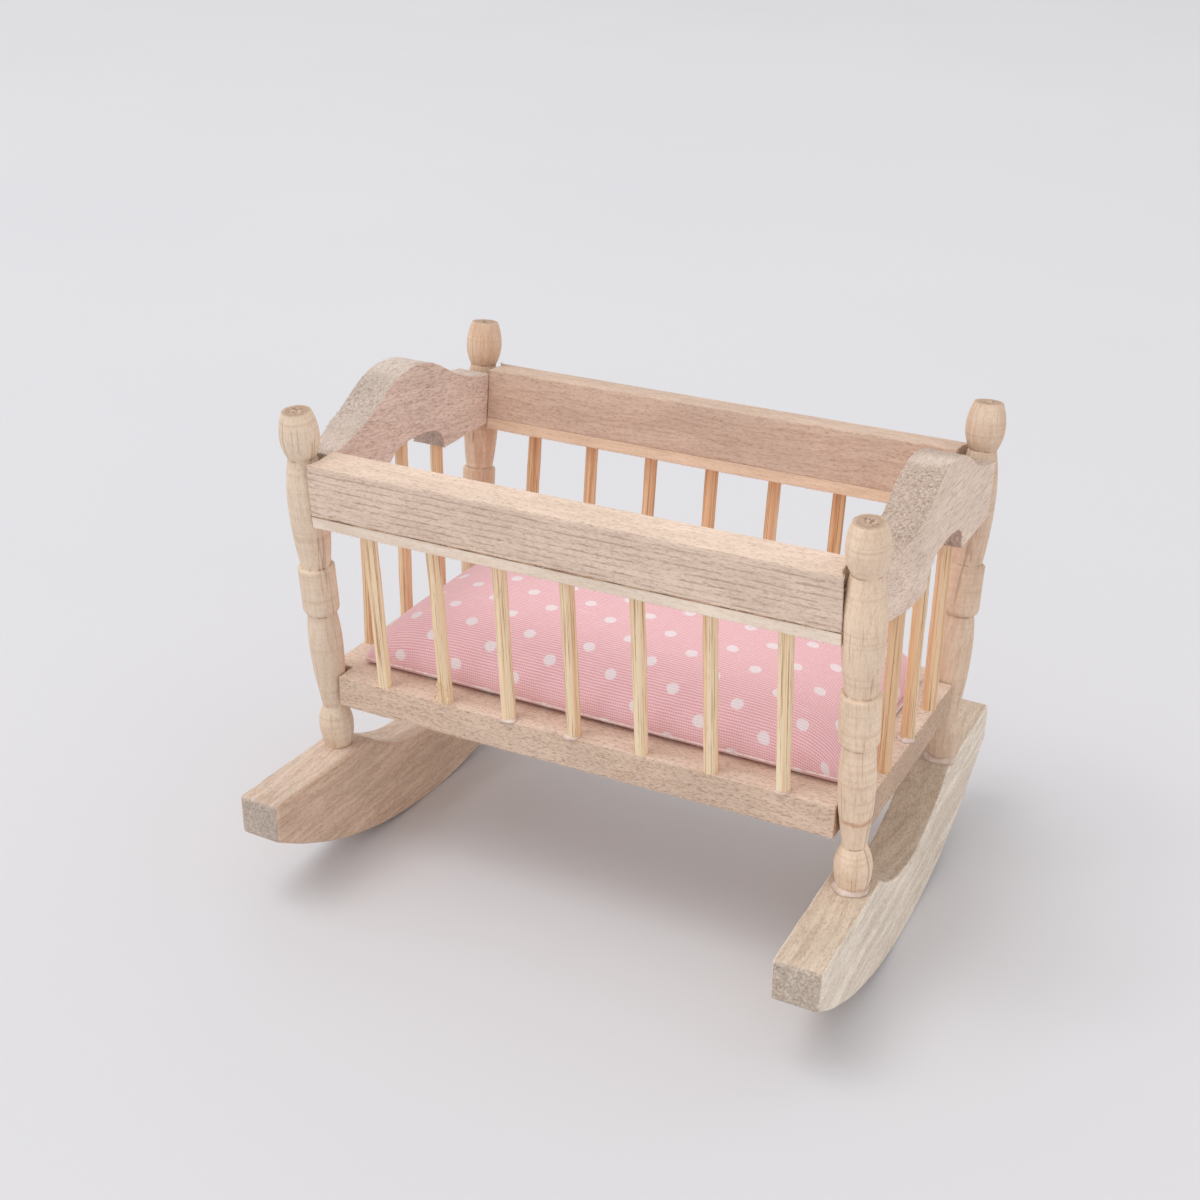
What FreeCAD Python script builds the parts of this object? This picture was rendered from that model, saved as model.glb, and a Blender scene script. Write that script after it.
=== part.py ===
import FreeCAD, Part
import Sketcher
import os

# A dolls'-house cradle: turned posts on two rockers carry a notched base board, two side rails,
# two humped end boards and twenty bamboo spindles. A loose stuffed mattress lies on the board.
# X runs along the cradle, the front is towards -Y, Z is up and the rockers stand on Z = 0.

doc = FreeCAD.newDocument("cradle")

# Driving sizes in millimetres, and angles in degrees
SIZES = [
    ("post_spacing_x", 82.0, "between post axes along the cradle"),
    ("post_spacing_y", 39.4, "between post axes across the cradle at the rockers"),
    ("splay_angle", 6.0, "outward lean of the posts and of the two sides"),
    ("fit_gap", 0.05, "glue gap where boards, rails and posts meet on a curve"),
    ("rocker_inset", 0.75, "rocker middle inside the post axes"),
    ("rocker_toe", 1.2, "turn of each rocker that brings its back end inward"),
    ("rocker_overhang", 20.1, "post axis to the end of the rocker"),
    ("rocker_thick", 6.8, "rocker board thickness"),
    ("rocker_height", 17.8, "floor to the flat top of the rockers"),
    ("rocker_tip", 5.8, "height of the rocker's upright ends"),
    ("scoop_margin", 1.07, "post foot to the hollow in the rocker top"),
    ("scoop_depth", 5.8, "depth of that hollow"),
    ("rocker_arris", 0.7, "rounding of the rocker ends"),
    ("post_length", 54.6, "post along its axis"),
    ("post_top_dia", 4.1, "flat top of the post"),
    ("dimple_dia", 1.3, "mark of the lathe centre in the post top"),
    ("dimple_depth", 0.4, "depth of that mark"),
    ("finial_dia", 5.6, "barrel at the post top"),
    ("finial_drop", 3.6, "post top to the widest part of the barrel"),
    ("neck_dia", 4.0, "neck under the barrel"),
    ("neck_drop", 6.8, "post top to the neck, level with the rail tops"),
    ("vase_dia", 5.65, "upper vase of the post"),
    ("waist_dia", 4.3, "foot of the upper vase"),
    ("collar_dia", 5.3, "plain collar round the middle of the post"),
    ("collar_height", 6.4, "height of the collar"),
    ("collar_step", 0.4, "bevel at the top of the collar"),
    ("collar_ease", 1.1, "rounding under the collar"),
    ("lower_waist_dia", 4.1, "top of the lower vase"),
    ("lower_vase_dia", 4.95, "lower vase of the post"),
    ("post_board_dia", 4.6, "post where it passes the top of the base board"),
    ("ankle_dia", 3.3, "narrowest part of the post"),
    ("ankle_rise", 7.0, "rocker top to the ankle"),
    ("ball_dia", 5.15, "ball foot of the post"),
    ("ball_rise", 3.7, "rocker top to the widest part of the ball foot"),
    ("foot_dia", 4.25, "end of the post on the rocker"),
    ("rail_height", 7.8, "side rail, top to seam"),
    ("rail_thick", 5.4, "side rail thickness"),
    ("rail_face", 2.3, "rail outer face outside the post axes"),
    ("rail_horn", 0.75, "rail ends past the sides of the posts, coped round them outside"),
    ("rail_arris", 0.25, "easing of the upper rail edges"),
    ("strip_height", 1.8, "strip glued under the rail"),
    ("board_rise", 12.8, "rocker top to the top of the base board"),
    ("board_thick", 4.8, "base board thickness"),
    ("end_thick", 5.6, "end board thickness"),
    ("shoulder_step", 0.4, "rail tops down to the end board shoulders"),
    ("end_side_height", 8.1, "end board height beside the posts"),
    ("hump_rise", 7.1, "shoulders up to the top of the hump"),
    ("dome_radius", 15.0, "radius of the top of the hump"),
    ("flank_angle", 29.0, "slope of the straight flanks of the hump"),
    ("flank_reach", 11.0, "cradle middle to the foot of the straight flanks"),
    ("hollow_sag", 0.5, "hollow of the curve from flank to shoulder"),
    ("arch_width", 15.6, "arch in the lower edge of the end board"),
    ("arch_rise", 4.2, "height of that arch"),
    ("arch_crown_width", 10.4, "flatter crown of the arch"),
    ("arch_crown_drop", 0.6, "fall of the crown to its ends"),
    ("spindle_dia", 2.0, "bamboo rod"),
    ("spindle_offset", 0.2, "side spindles outside the post axes"),
    ("side_margin", 10.0, "post axis to the nearest side spindle"),
    ("end_margin", 11.05, "post axis to the nearest end spindle, at the base board"),
    ("pad_end_gap", 0.6, "mattress to the end boards, along the cradle"),
    ("pad_side_gap", 2.55, "mattress to the feet of the side spindles"),
    ("pad_height", 9.6, "mattress at its crown"),
    ("pad_gap", 0.3, "base board to the underside of the mattress"),
    ("cover_thick", 0.4, "cotton of the cover"),
    ("cover_hem", 1.6, "turned-in cotton at the two ends of the cover"),
    ("filling_gap", 0.1, "filling to the inside of the cover"),
]
sheet = doc.addObject("Spreadsheet::Sheet", "Sizes")
for row, (alias, size, note) in enumerate(SIZES, start=1):
    sheet.set("A%d" % row, note)
    sheet.set("B%d" % row, str(size))
    sheet.setAlias("B%d" % row, alias)
doc.recompute()

SIDE_SPINDLES = 7
END_SPINDLES = 3
SIDES = {"front": -1, "back": 1}
ENDS = {"left": -1, "right": 1}

# Expressions that several pieces share
SIN = "sin(Sizes.splay_angle * 1 deg)"
COS = "cos(Sizes.splay_angle * 1 deg)"
TAN = "tan(Sizes.splay_angle * 1 deg)"
RAIL_LEVEL = "(Sizes.post_length - Sizes.neck_drop)"
RAIL_SEAM = "(%s - Sizes.rail_height)" % RAIL_LEVEL
STRIP_FOOT = "(%s - Sizes.strip_height)" % RAIL_SEAM
COPE_RADIUS = "(max(Sizes.vase_dia; Sizes.end_thick) / 2 + Sizes.fit_gap)"
RAIL_REACH = "(Sizes.post_spacing_x / 2 - %s)" % COPE_RADIUS
HALF_RAIL = "(%s + Sizes.rail_horn)" % RAIL_REACH
BOARD_TOP = "(Sizes.rocker_height + Sizes.board_rise)"
POST_AT_BOARD = "(Sizes.post_spacing_y / 2 + Sizes.board_rise * %s)" % TAN
# A leaning spindle stands on the lowest point of its square-cut foot, flush with the board's edge
FOOT_RISE = "((Sizes.board_rise + (Sizes.spindle_offset + Sizes.spindle_dia / 2) * %s) / %s)" % (SIN, COS)
FOOT_Y = "(Sizes.post_spacing_y / 2 + %s * %s + Sizes.spindle_offset * %s)" % (FOOT_RISE, SIN, COS)
HALF_BOARD_X = "(Sizes.post_spacing_x / 2 + Sizes.spindle_dia / 2)"
HALF_BOARD_Y = "(%s + Sizes.spindle_dia / 2 * %s)" % (FOOT_Y, COS)
SHOULDER = "(Sizes.rocker_height + %s * %s - Sizes.shoulder_step)" % (RAIL_LEVEL, COS)
ARCH_TOP = "(Sizes.arch_rise - Sizes.end_side_height)"

nodes = []


def value(expression):
    return float(sheet.evalExpression(expression))


def at(u, v):
    return FreeCAD.Vector(value(u), value(v), 0)


def signed(sign, expression):
    """The expression itself, or its negative for a sign of -1."""
    return expression if sign > 0 else "-(%s)" % expression


def move(item, x, y, z):
    """Bind the place of an object to three expressions."""
    for letter, expression in zip("xyz", (x, y, z)):
        item.setExpression("Placement.Base." + letter, expression)


def turn(item, axis, angle):
    """Turn an object about an axis through its own origin by a size of the sheet."""
    item.Placement = FreeCAD.Placement(item.Placement.Base, FreeCAD.Rotation(axis, value(angle)))
    item.setExpression("Placement.Rotation.Angle", angle + " * 1 deg")


def lean(item, sign):
    """Lean an object outward by the splay angle, to the front for a sign of -1."""
    turn(item, FreeCAD.Vector(-sign, 0, 0), "Sizes.splay_angle")


def new_body(label):
    body = doc.addObject("PartDesign::Body", label)
    body.Label = label
    nodes.append(body)
    return body


def origin_of(body, role):
    return next(feature for feature in body.Origin.OriginFeatures if feature.Role == role)


def add_feature(body, kind, name, **sizes):
    """Add a feature to a body with its sizes bound, and make it the tip."""
    feature = body.newObject("PartDesign::" + kind, name)
    for size, expression in sizes.items():
        feature.setExpression(size, expression)
    body.Tip = feature
    return feature


def new_sketch(body, name, role):
    sketch = body.newObject("Sketcher::SketchObject", name)
    sketch.AttachmentSupport = (origin_of(body, role), [""])
    sketch.MapMode = "FlatFace"
    return sketch


def held(edge, end, u, v):
    """The two distances from the sketch origin that hold one point, with their expressions."""
    return [(Sketcher.Constraint(kind, -1, 1, edge, end, value(expression)), expression)
            for kind, expression in (("DistanceX", u), ("DistanceY", v))]


def draw_outline(sketch, corners):
    """Draw a closed outline through bound corners.

    A corner is (u, v), or (u, v, (mu, mv)) where an arc through (mu, mv) leaves it.
    """
    spots = [at(corner[0], corner[1]) for corner in corners]
    edges = []
    for index, corner in enumerate(corners):
        start = spots[index]
        stop = spots[(index + 1) % len(spots)]
        if len(corner) == 3:
            curve = Part.Arc(start, at(*corner[2]), stop)
        else:
            curve = Part.LineSegment(start, stop)
        edge = sketch.addGeometry(curve, False)
        begins_first = sketch.getPoint(edge, 1).distanceToPoint(start) < 1e-4
        edges.append((edge, 1, 2) if begins_first else (edge, 2, 1))
    rules = []
    for index, corner in enumerate(corners):
        edge, first, last = edges[index]
        following, next_first, _ = edges[(index + 1) % len(edges)]
        rules.append((Sketcher.Constraint("Coincident", edge, last, following, next_first), None))
        rules += held(edge, first, corner[0], corner[1])
        if len(corner) == 3:
            dot = sketch.addGeometry(Part.Point(at(*corner[2])), True)
            rules += held(dot, 1, *corner[2])
            rules.append((Sketcher.Constraint("PointOnObject", dot, 1, edge), None))
    sketch.addConstraint([rule for rule, _ in rules])
    for number, (_, expression) in enumerate(rules):
        if expression:
            sketch.setExpression("Constraints[%d]" % number, expression)


def round_edges(body, name, radius, wanted):
    """Round the edges of a body's tip whose middle point passes a test."""
    doc.recompute()
    base = body.Tip
    names = []
    for number, edge in enumerate(base.Shape.Edges, start=1):
        middle = edge.valueAt((edge.FirstParameter + edge.LastParameter) / 2)
        if wanted(edge, middle):
            names.append("Edge%d" % number)
    fillet = add_feature(body, "Fillet", name, Radius=radius)
    fillet.Base = (base, names)


# Rockers: one board each, sawn to an arc below and scooped in the middle of the top edge.
# They stand a little closer together behind than in front.
HALF_ROCKER = "(Sizes.post_spacing_y / 2 + Sizes.rocker_overhang)"
HALF_SCOOP = "(Sizes.post_spacing_y / 2 - Sizes.foot_dia / 2 - Sizes.scoop_margin)"
TIP_RISE = "(Sizes.rocker_height - Sizes.rocker_tip)"
for end, sign in ENDS.items():
    rocker = new_body("rocker_" + end)
    outline = new_sketch(rocker, "rocker_outline_" + end, "YZ_Plane")
    draw_outline(outline, [
        ("-" + HALF_ROCKER, TIP_RISE, ("0", "0")),
        (HALF_ROCKER, TIP_RISE),
        (HALF_ROCKER, "Sizes.rocker_height"),
        (HALF_SCOOP, "Sizes.rocker_height", ("0", "Sizes.rocker_height - Sizes.scoop_depth")),
        ("-" + HALF_SCOOP, "Sizes.rocker_height"),
        ("-" + HALF_ROCKER, "Sizes.rocker_height"),
    ])
    pad = add_feature(rocker, "Pad", "rocker_board_" + end, Length="Sizes.rocker_thick")
    pad.Profile = outline
    pad.SideType = "Symmetric"
    tip_y = value(HALF_ROCKER)
    round_edges(rocker, "rocker_ends_" + end, "Sizes.rocker_arris",
                lambda edge, middle: abs(abs(middle.y) - tip_y) < 1e-4)
    move(rocker, signed(sign, "Sizes.post_spacing_x / 2 - Sizes.rocker_inset"), "0", "0")
    turn(rocker, FreeCAD.Vector(0, 0, sign), "Sizes.rocker_toe")

# Posts: turned from birch rod, each foot cut level so that the leaning post stands on its rocker
SWELL_SHARE = 0.75  # a shallow curve has gained three quarters of its swelling at half its height
EASE_OUT, EASE_DOWN = 0.3, 0.65  # a point on the rounding under the collar, inward and downward
# Where the turned forms stand, as shares of the way from the rail tops down to the base board
VASE_SHARE, WAIST_SHARE, LOWER_VASE_SHARE = 0.212, 0.484, 0.853


def between(first, second, share):
    """A value on the way from a first to a second one."""
    return "((%s) * %g + (%s) * %g)" % (first, 1 - share, second, share)


def swell(thin_dia, thin_rise, wide_dia, wide_rise):
    """A point halfway along a curve that runs out to a widest place and is upright there."""
    return (between(thin_dia, wide_dia, SWELL_SHARE) + " / 2", between(thin_rise, wide_rise, 0.5))


def turned_outline():
    """Half outline of a post from its foot up to the lathe mark, with the axis as last edge."""
    foot, ball, ankle = "Sizes.foot_dia", "Sizes.ball_dia", "Sizes.ankle_dia"
    board, lower, under = "Sizes.post_board_dia", "Sizes.lower_vase_dia", "Sizes.lower_waist_dia"
    waist, vase, neck = "Sizes.waist_dia", "Sizes.vase_dia", "Sizes.neck_dia"
    finial, crown = "Sizes.finial_dia", "Sizes.post_top_dia"
    land = "Sizes.foot_dia * " + TAN
    board_level = "Sizes.board_rise / " + COS
    vase_rise = between(RAIL_LEVEL, board_level, VASE_SHARE)
    waist_rise = between(RAIL_LEVEL, board_level, WAIST_SHARE)
    lower_rise = between(RAIL_LEVEL, board_level, LOWER_VASE_SHARE)
    collar_top = "(%s - Sizes.collar_step)" % waist_rise
    collar_foot = "(%s - Sizes.collar_height)" % collar_top
    under_rise = "(%s - Sizes.collar_ease)" % collar_foot
    finial_rise = "(Sizes.post_length - Sizes.finial_drop)"
    ease = (between("Sizes.collar_dia", under, EASE_OUT) + " / 2",
            between(collar_foot, under_rise, EASE_DOWN))
    return [
        ("0", "-" + land),
        (foot + " / 2", "-" + land),
        (foot + " / 2", land, swell(foot, land, ball, "Sizes.ball_rise")),
        (ball + " / 2", "Sizes.ball_rise", swell(ankle, "Sizes.ankle_rise", ball, "Sizes.ball_rise")),
        (ankle + " / 2", "Sizes.ankle_rise"),
        (board + " / 2", board_level, swell(board, board_level, lower, lower_rise)),
        (lower + " / 2", lower_rise, swell(under, under_rise, lower, lower_rise)),
        (under + " / 2", under_rise, ease),
        ("Sizes.collar_dia / 2", collar_foot),
        ("Sizes.collar_dia / 2", collar_top),
        (waist + " / 2", waist_rise, swell(waist, waist_rise, vase, vase_rise)),
        (vase + " / 2", vase_rise, swell(neck, RAIL_LEVEL, vase, vase_rise)),
        (neck + " / 2", RAIL_LEVEL, swell(neck, RAIL_LEVEL, finial, finial_rise)),
        (finial + " / 2", finial_rise, swell(crown, "Sizes.post_length", finial, finial_rise)),
        (crown + " / 2", "Sizes.post_length"),
        ("Sizes.dimple_dia / 2", "Sizes.post_length"),
        ("0", "Sizes.post_length - Sizes.dimple_depth"),
    ]


for side, outward in SIDES.items():
    for end, sign in ENDS.items():
        place = "%s_%s" % (side, end)
        post = new_body("post_" + place)
        outline = new_sketch(post, "post_outline_" + place, "XZ_Plane")
        draw_outline(outline, turned_outline())
        turning = add_feature(post, "Revolution", "post_turning_" + place)
        turning.Profile = outline
        turning.ReferenceAxis = (outline, ["V_Axis"])
        level = new_sketch(post, "post_level_" + place, "YZ_Plane")
        near = signed(-outward, "Sizes.ball_dia * " + TAN)
        far = signed(outward, "Sizes.ball_dia * " + TAN)
        draw_outline(level, [
            ("-Sizes.ball_dia", near),
            ("-Sizes.ball_dia", "-Sizes.ball_dia"),
            ("Sizes.ball_dia", "-Sizes.ball_dia"),
            ("Sizes.ball_dia", far),
        ])
        cut = add_feature(post, "Pocket", "post_foot_" + place, Length="Sizes.ball_dia * 2")
        cut.Profile = level
        cut.SideType = "Symmetric"
        move(post, signed(sign, "Sizes.post_spacing_x / 2"),
             signed(outward, "Sizes.post_spacing_y / 2"), "Sizes.rocker_height")
        lean(post, outward)

# Side rails and the thin strips glued under them, leaning with the posts. Their outer halves run a
# little way in front of the posts, and their ends are cut round there to fit the turning.


def cope_outline(sign, outward):
    """What is cut from one end of a side board: a quarter round outside, square inside."""
    post = signed(sign, "Sizes.post_spacing_x / 2")
    reach = signed(sign, RAIL_REACH)
    halfway = (signed(sign, "(Sizes.post_spacing_x / 2 - %s * cos(45 deg))" % COPE_RADIUS),
               signed(outward, "(%s * sin(45 deg))" % COPE_RADIUS))
    inside = signed(-outward, "Sizes.rail_thick")
    return [
        (reach, "0", halfway),
        (post, signed(outward, COPE_RADIUS)),
        (post, inside),
        (reach, inside),
    ]


def side_board(label, outward, lower, height):
    """A straight board between the posts of one side, from a height along the posts."""
    board = new_body(label)
    box = add_feature(board, "AdditiveBox", label + "_blank",
                      Length="2 * " + HALF_RAIL, Width="Sizes.rail_thick", Height=height)
    nearest = "-Sizes.rail_face" if outward < 0 else "Sizes.rail_face - Sizes.rail_thick"
    move(box, "-" + HALF_RAIL, nearest, lower)
    for end, sign in ENDS.items():
        cope = new_sketch(board, "%s_cope_%s" % (label, end), "XY_Plane")
        draw_outline(cope, cope_outline(sign, outward))
        cut = add_feature(board, "Pocket", "%s_end_%s" % (label, end), Length="Sizes.post_length * 2")
        cut.Profile = cope
        cut.SideType = "Symmetric"
    move(board, "0", signed(outward, "Sizes.post_spacing_y / 2"), "Sizes.rocker_height")
    lean(board, outward)
    return board


for side, outward in SIDES.items():
    rail = side_board("side_rail_" + side, outward, RAIL_SEAM, "Sizes.rail_height")
    rail_top = value(RAIL_LEVEL)
    round_edges(rail, "rail_arris_" + side, "Sizes.rail_arris",
                lambda edge, middle: abs(middle.z - rail_top) < 1e-4 and abs(middle.x) < 1e-4)
    side_board("rail_strip_" + side, outward, STRIP_FOOT, "Sizes.strip_height")

# Base board: one plank, its four corners notched round the posts
base = new_body("base_board")
plank = add_feature(base, "AdditiveBox", "base_plank", Length="2 * " + HALF_BOARD_X,
                    Width="2 * " + HALF_BOARD_Y, Height="Sizes.board_thick")
move(plank, "-" + HALF_BOARD_X, "-" + HALF_BOARD_Y, "-Sizes.board_thick")
NOTCH_X = "(Sizes.post_spacing_x / 2 - Sizes.post_board_dia / 2 - Sizes.fit_gap)"
NOTCH_Y = "(%s - (Sizes.post_board_dia / 2 + Sizes.fit_gap) / %s)" % (POST_AT_BOARD, COS)
for side, outward in SIDES.items():
    for end, sign in ENDS.items():
        notch = add_feature(base, "SubtractiveBox", "notch_%s_%s" % (side, end),
                            Length=HALF_BOARD_X, Width=HALF_BOARD_Y, Height="Sizes.board_thick * 3")
        move(notch,
             NOTCH_X if sign > 0 else "-%s - %s" % (NOTCH_X, HALF_BOARD_X),
             NOTCH_Y if outward > 0 else "-%s - %s" % (NOTCH_Y, HALF_BOARD_Y),
             "-Sizes.board_thick * 2")
move(base, "0", "0", BOARD_TOP)

# End boards: sawn from thick stock, humped above and arched below, fitted between the posts
SPRING_OUT, SPRING_DOWN = 0.7, 0.35  # a point on the curve from the arch crown to its foot


def half_width(height):
    """Half width of an end board at a height over its shoulders, up to the leaning posts."""
    return ("(Sizes.post_spacing_y / 2 + %s * %s + (%s - Sizes.shoulder_step) * %s"
            " - (Sizes.vase_dia / 2 + Sizes.fit_gap) / %s)" % (RAIL_LEVEL, SIN, height, TAN, COS))


def end_outline():
    """Outline of an end board over its shoulder height, from the arch foot round to the arch."""
    low = "-Sizes.end_side_height"
    side_low, side_top = half_width(low), half_width("0")
    slope = "(Sizes.flank_angle * 1 deg)"
    dome_y = "(Sizes.dome_radius * sin%s)" % slope
    dome_z = "(Sizes.hump_rise - Sizes.dome_radius * (1 - cos%s))" % slope
    flank_y = "Sizes.flank_reach"
    flank_z = "(%s - (%s - %s) * tan%s)" % (dome_z, flank_y, dome_y, slope)
    hollow_y = "((%s + %s) / 2)" % (flank_y, side_top)
    hollow_z = "(%s / 2 - Sizes.hollow_sag)" % flank_z
    arch_y = "(Sizes.arch_width / 2)"
    crown_y = "(Sizes.arch_crown_width / 2)"
    crown_z = "(%s - Sizes.arch_crown_drop)" % ARCH_TOP
    spring_y = between(crown_y, arch_y, SPRING_OUT)
    spring_z = between(crown_z, low, SPRING_DOWN)
    return [
        (arch_y, low),
        (side_low, low),
        (side_top, "0", (hollow_y, hollow_z)),
        (flank_y, flank_z),
        (dome_y, dome_z, ("0", "Sizes.hump_rise")),
        ("-" + dome_y, dome_z),
        ("-" + flank_y, flank_z, ("-" + hollow_y, hollow_z)),
        ("-" + side_top, "0"),
        ("-" + side_low, low),
        ("-" + arch_y, low, ("-" + spring_y, spring_z)),
        ("-" + crown_y, crown_z, ("0", ARCH_TOP)),
        (crown_y, crown_z, (spring_y, spring_z)),
    ]


for end, sign in ENDS.items():
    board = new_body("end_board_" + end)
    outline = new_sketch(board, "end_outline_" + end, "YZ_Plane")
    draw_outline(outline, end_outline())
    pad = add_feature(board, "Pad", "end_plank_" + end, Length="Sizes.end_thick")
    pad.Profile = outline
    pad.SideType = "Symmetric"
    move(board, signed(sign, "Sizes.post_spacing_x / 2"), "0", SHOULDER)

# Spindles: round bamboo rod cut square and glued between the base board and the parts above it


def rod(label, length, x, y, z):
    spindle = doc.addObject("Part::Cylinder", label)
    spindle.Label = label
    spindle.setExpression("Radius", "Sizes.spindle_dia / 2")
    spindle.setExpression("Height", length)
    move(spindle, x, y, z)
    nodes.append(spindle)
    return spindle


def spread(half, margin, step, count):
    """Place of one rod in an even row that keeps a margin to a half width on both sides."""
    return "((%s - %s) * %d / %d)" % (half, margin, 2 * step, count - 1)


for side, outward in SIDES.items():
    for number in range(SIDE_SPINDLES):
        spindle = rod("spindle_%s_%d" % (side, number + 1), "%s - %s" % (STRIP_FOOT, FOOT_RISE),
                      spread("Sizes.post_spacing_x / 2", "Sizes.side_margin",
                             number - SIDE_SPINDLES // 2, SIDE_SPINDLES),
                      signed(outward, FOOT_Y),
                      "%s + Sizes.spindle_dia / 2 * %s" % (BOARD_TOP, SIN))
        lean(spindle, outward)
for end, sign in ENDS.items():
    for number in range(END_SPINDLES):
        step = number - END_SPINDLES // 2
        ceiling = ARCH_TOP + " - Sizes.fit_gap" if step == 0 else "(-Sizes.end_side_height)"
        rod("spindle_%s_%d" % (end, number + 1), "%s + %s - %s" % (SHOULDER, ceiling, BOARD_TOP),
            signed(sign, "Sizes.post_spacing_x / 2"),
            spread(POST_AT_BOARD, "Sizes.end_margin", step, END_SPINDLES), BOARD_TOP)

# Mattress: a stuffed cotton pad, flat below, crowned above and drawn in at its ends
HALF_PAD_X = "(Sizes.post_spacing_x / 2 - Sizes.end_thick / 2 - Sizes.pad_end_gap)"
HALF_PAD_Y = "(%s - Sizes.spindle_dia / 2 * %s - Sizes.pad_side_gap)" % (FOOT_Y, COS)
PAD_STATIONS = [
    # share of the half length, share of the width, share of the height
    (1.0, 0.84, 0.12),
    (0.985, 0.90, 0.31),
    (0.95, 0.945, 0.53),
    (0.9, 0.97, 0.68),
    (0.8, 0.987, 0.82),
    (0.65, 0.996, 0.915),
    (0.4, 1.0, 0.98),
    (0.0, 1.0, 1.0),
]
# Places on the pad's outline, as shares of its height there
FOOT_IN, EDGE_IN = 0.10, 0.22
BULGE_UP, EDGE_UP = 0.42, 0.80


def pad_section(half, height, floor):
    """Outline across the pad: flat below, bulging sides and a crowned top."""
    foot = "(%s - %g * %s)" % (half, FOOT_IN, height)
    edge = "(%s - %g * %s)" % (half, EDGE_IN, height)
    bulge = (half, "(%s + %g * %s)" % (floor, BULGE_UP, height))
    top = "(%s + %g * %s)" % (floor, EDGE_UP, height)
    crown = ("0", "(%s + %s)" % (floor, height))
    return [
        ("-" + foot, floor),
        (foot, floor, bulge),
        (edge, top, crown),
        ("-" + edge, top, ("-" + half, bulge[1])),
    ]


def pad_loft(body, name, kind, inset, hem):
    """Loft a pad form through its stations, smaller than the outside by an inset and a hem."""
    length = "(%s - (%s))" % (HALF_PAD_X, hem)
    width = "(%s - (%s))" % (HALF_PAD_Y, inset)
    tall = "(Sizes.pad_height - 2 * (%s))" % inset
    stations = [(-share, wide, high) for share, wide, high in PAD_STATIONS]
    stations += [station for station in reversed(PAD_STATIONS) if station[0] > 0]
    sections = []
    for number, (share, wide, high) in enumerate(stations, start=1):
        sketch = new_sketch(body, "%s_section_%d" % (name, number), "YZ_Plane")
        sketch.setExpression("AttachmentOffset.Base.z", "%s * %g" % (length, share))
        half, height = "(%s * %g)" % (width, wide), "(%s * %g)" % (tall, high)
        draw_outline(sketch, pad_section(half, height, "(%s)" % inset))
        sections.append(sketch)
    loft = add_feature(body, kind, name)
    loft.Profile = sections[0]
    loft.Sections = sections[1:]


PAD_FLOOR = BOARD_TOP + " + Sizes.pad_gap"
FILLING_INSET = "Sizes.cover_thick + Sizes.filling_gap"
FILLING_HEM = "Sizes.cover_hem + Sizes.filling_gap"
cover = new_body("mattress_cover")
pad_loft(cover, "cover_outside", "AdditiveLoft", "0", "0")
doc.recompute()
pad_loft(cover, "cover_inside", "SubtractiveLoft", "Sizes.cover_thick", "Sizes.cover_hem")
move(cover, "0", "0", PAD_FLOOR)
filling = new_body("mattress_filling")
pad_loft(filling, "filling_form", "AdditiveLoft", FILLING_INSET, FILLING_HEM)
move(filling, "0", "0", PAD_FLOOR)

doc.recompute()

# Every object has to be sound before the parts are written
for item in doc.Objects:
    if "Invalid" in item.State or "Error" in item.State:
        raise RuntimeError("%s is %s" % (item.Label, item.State))
os.makedirs("parts", exist_ok=True)
for node in nodes:
    shape = node.Shape
    if shape.isNull() or not shape.isValid():
        raise RuntimeError("%s has no valid shape" % node.Label)
    shape.exportStep("parts/%s.step" % node.Label)
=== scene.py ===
import math

import bmesh
import bpy
import numpy as np
from mathutils import Euler, Matrix, Vector, noise


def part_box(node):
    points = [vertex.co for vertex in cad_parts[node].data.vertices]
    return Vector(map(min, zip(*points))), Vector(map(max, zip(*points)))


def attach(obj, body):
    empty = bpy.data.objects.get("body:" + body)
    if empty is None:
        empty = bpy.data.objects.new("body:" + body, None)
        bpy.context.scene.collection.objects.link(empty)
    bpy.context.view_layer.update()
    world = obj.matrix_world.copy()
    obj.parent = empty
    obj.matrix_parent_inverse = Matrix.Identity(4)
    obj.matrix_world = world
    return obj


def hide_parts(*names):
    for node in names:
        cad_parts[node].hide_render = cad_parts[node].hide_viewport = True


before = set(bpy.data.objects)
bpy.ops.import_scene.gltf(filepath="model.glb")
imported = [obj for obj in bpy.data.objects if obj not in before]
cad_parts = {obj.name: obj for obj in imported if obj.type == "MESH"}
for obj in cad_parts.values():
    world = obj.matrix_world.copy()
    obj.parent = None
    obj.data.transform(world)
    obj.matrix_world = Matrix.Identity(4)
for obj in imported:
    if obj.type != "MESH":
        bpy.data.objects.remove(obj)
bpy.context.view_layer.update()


# ROCKERS. Two sawn boards standing on edge, arced below and scooped between the feet of the posts.
# Bare pale hardwood, its grain along the rocker, streaked on the faces and grey and speckled on
# the sawn ends. The posts are glued on top.
MM = 0.001


def tone(red, green, blue):
    """A display colour (0 to 255) as the shader's linear colour."""
    channels = [value / 255 for value in (red, green, blue)]
    return (*[c / 12.92 if c <= 0.04045 else ((c + 0.055) / 1.055) ** 2.4 for c in channels], 1.0)


def place(tree, kind, feeds=None, **settings):
    """Put one node in a tree: its settings first, then its feeds by socket name or number."""
    node = tree.nodes.new(kind)
    for word, value in settings.items():
        setattr(node, word, value)
    for socket, value in (feeds or {}).items():
        if isinstance(value, bpy.types.NodeSocket):
            tree.links.new(value, node.inputs[socket])
        else:
            node.inputs[socket].default_value = value
    return node


def work(tree, operation, *values):
    return place(tree, "ShaderNodeMath", dict(enumerate(values)), operation=operation).outputs[0]


def vector_work(tree, operation, *values):
    node = place(tree, "ShaderNodeVectorMath", dict(enumerate(values)), operation=operation)
    return node.outputs[0]


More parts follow.
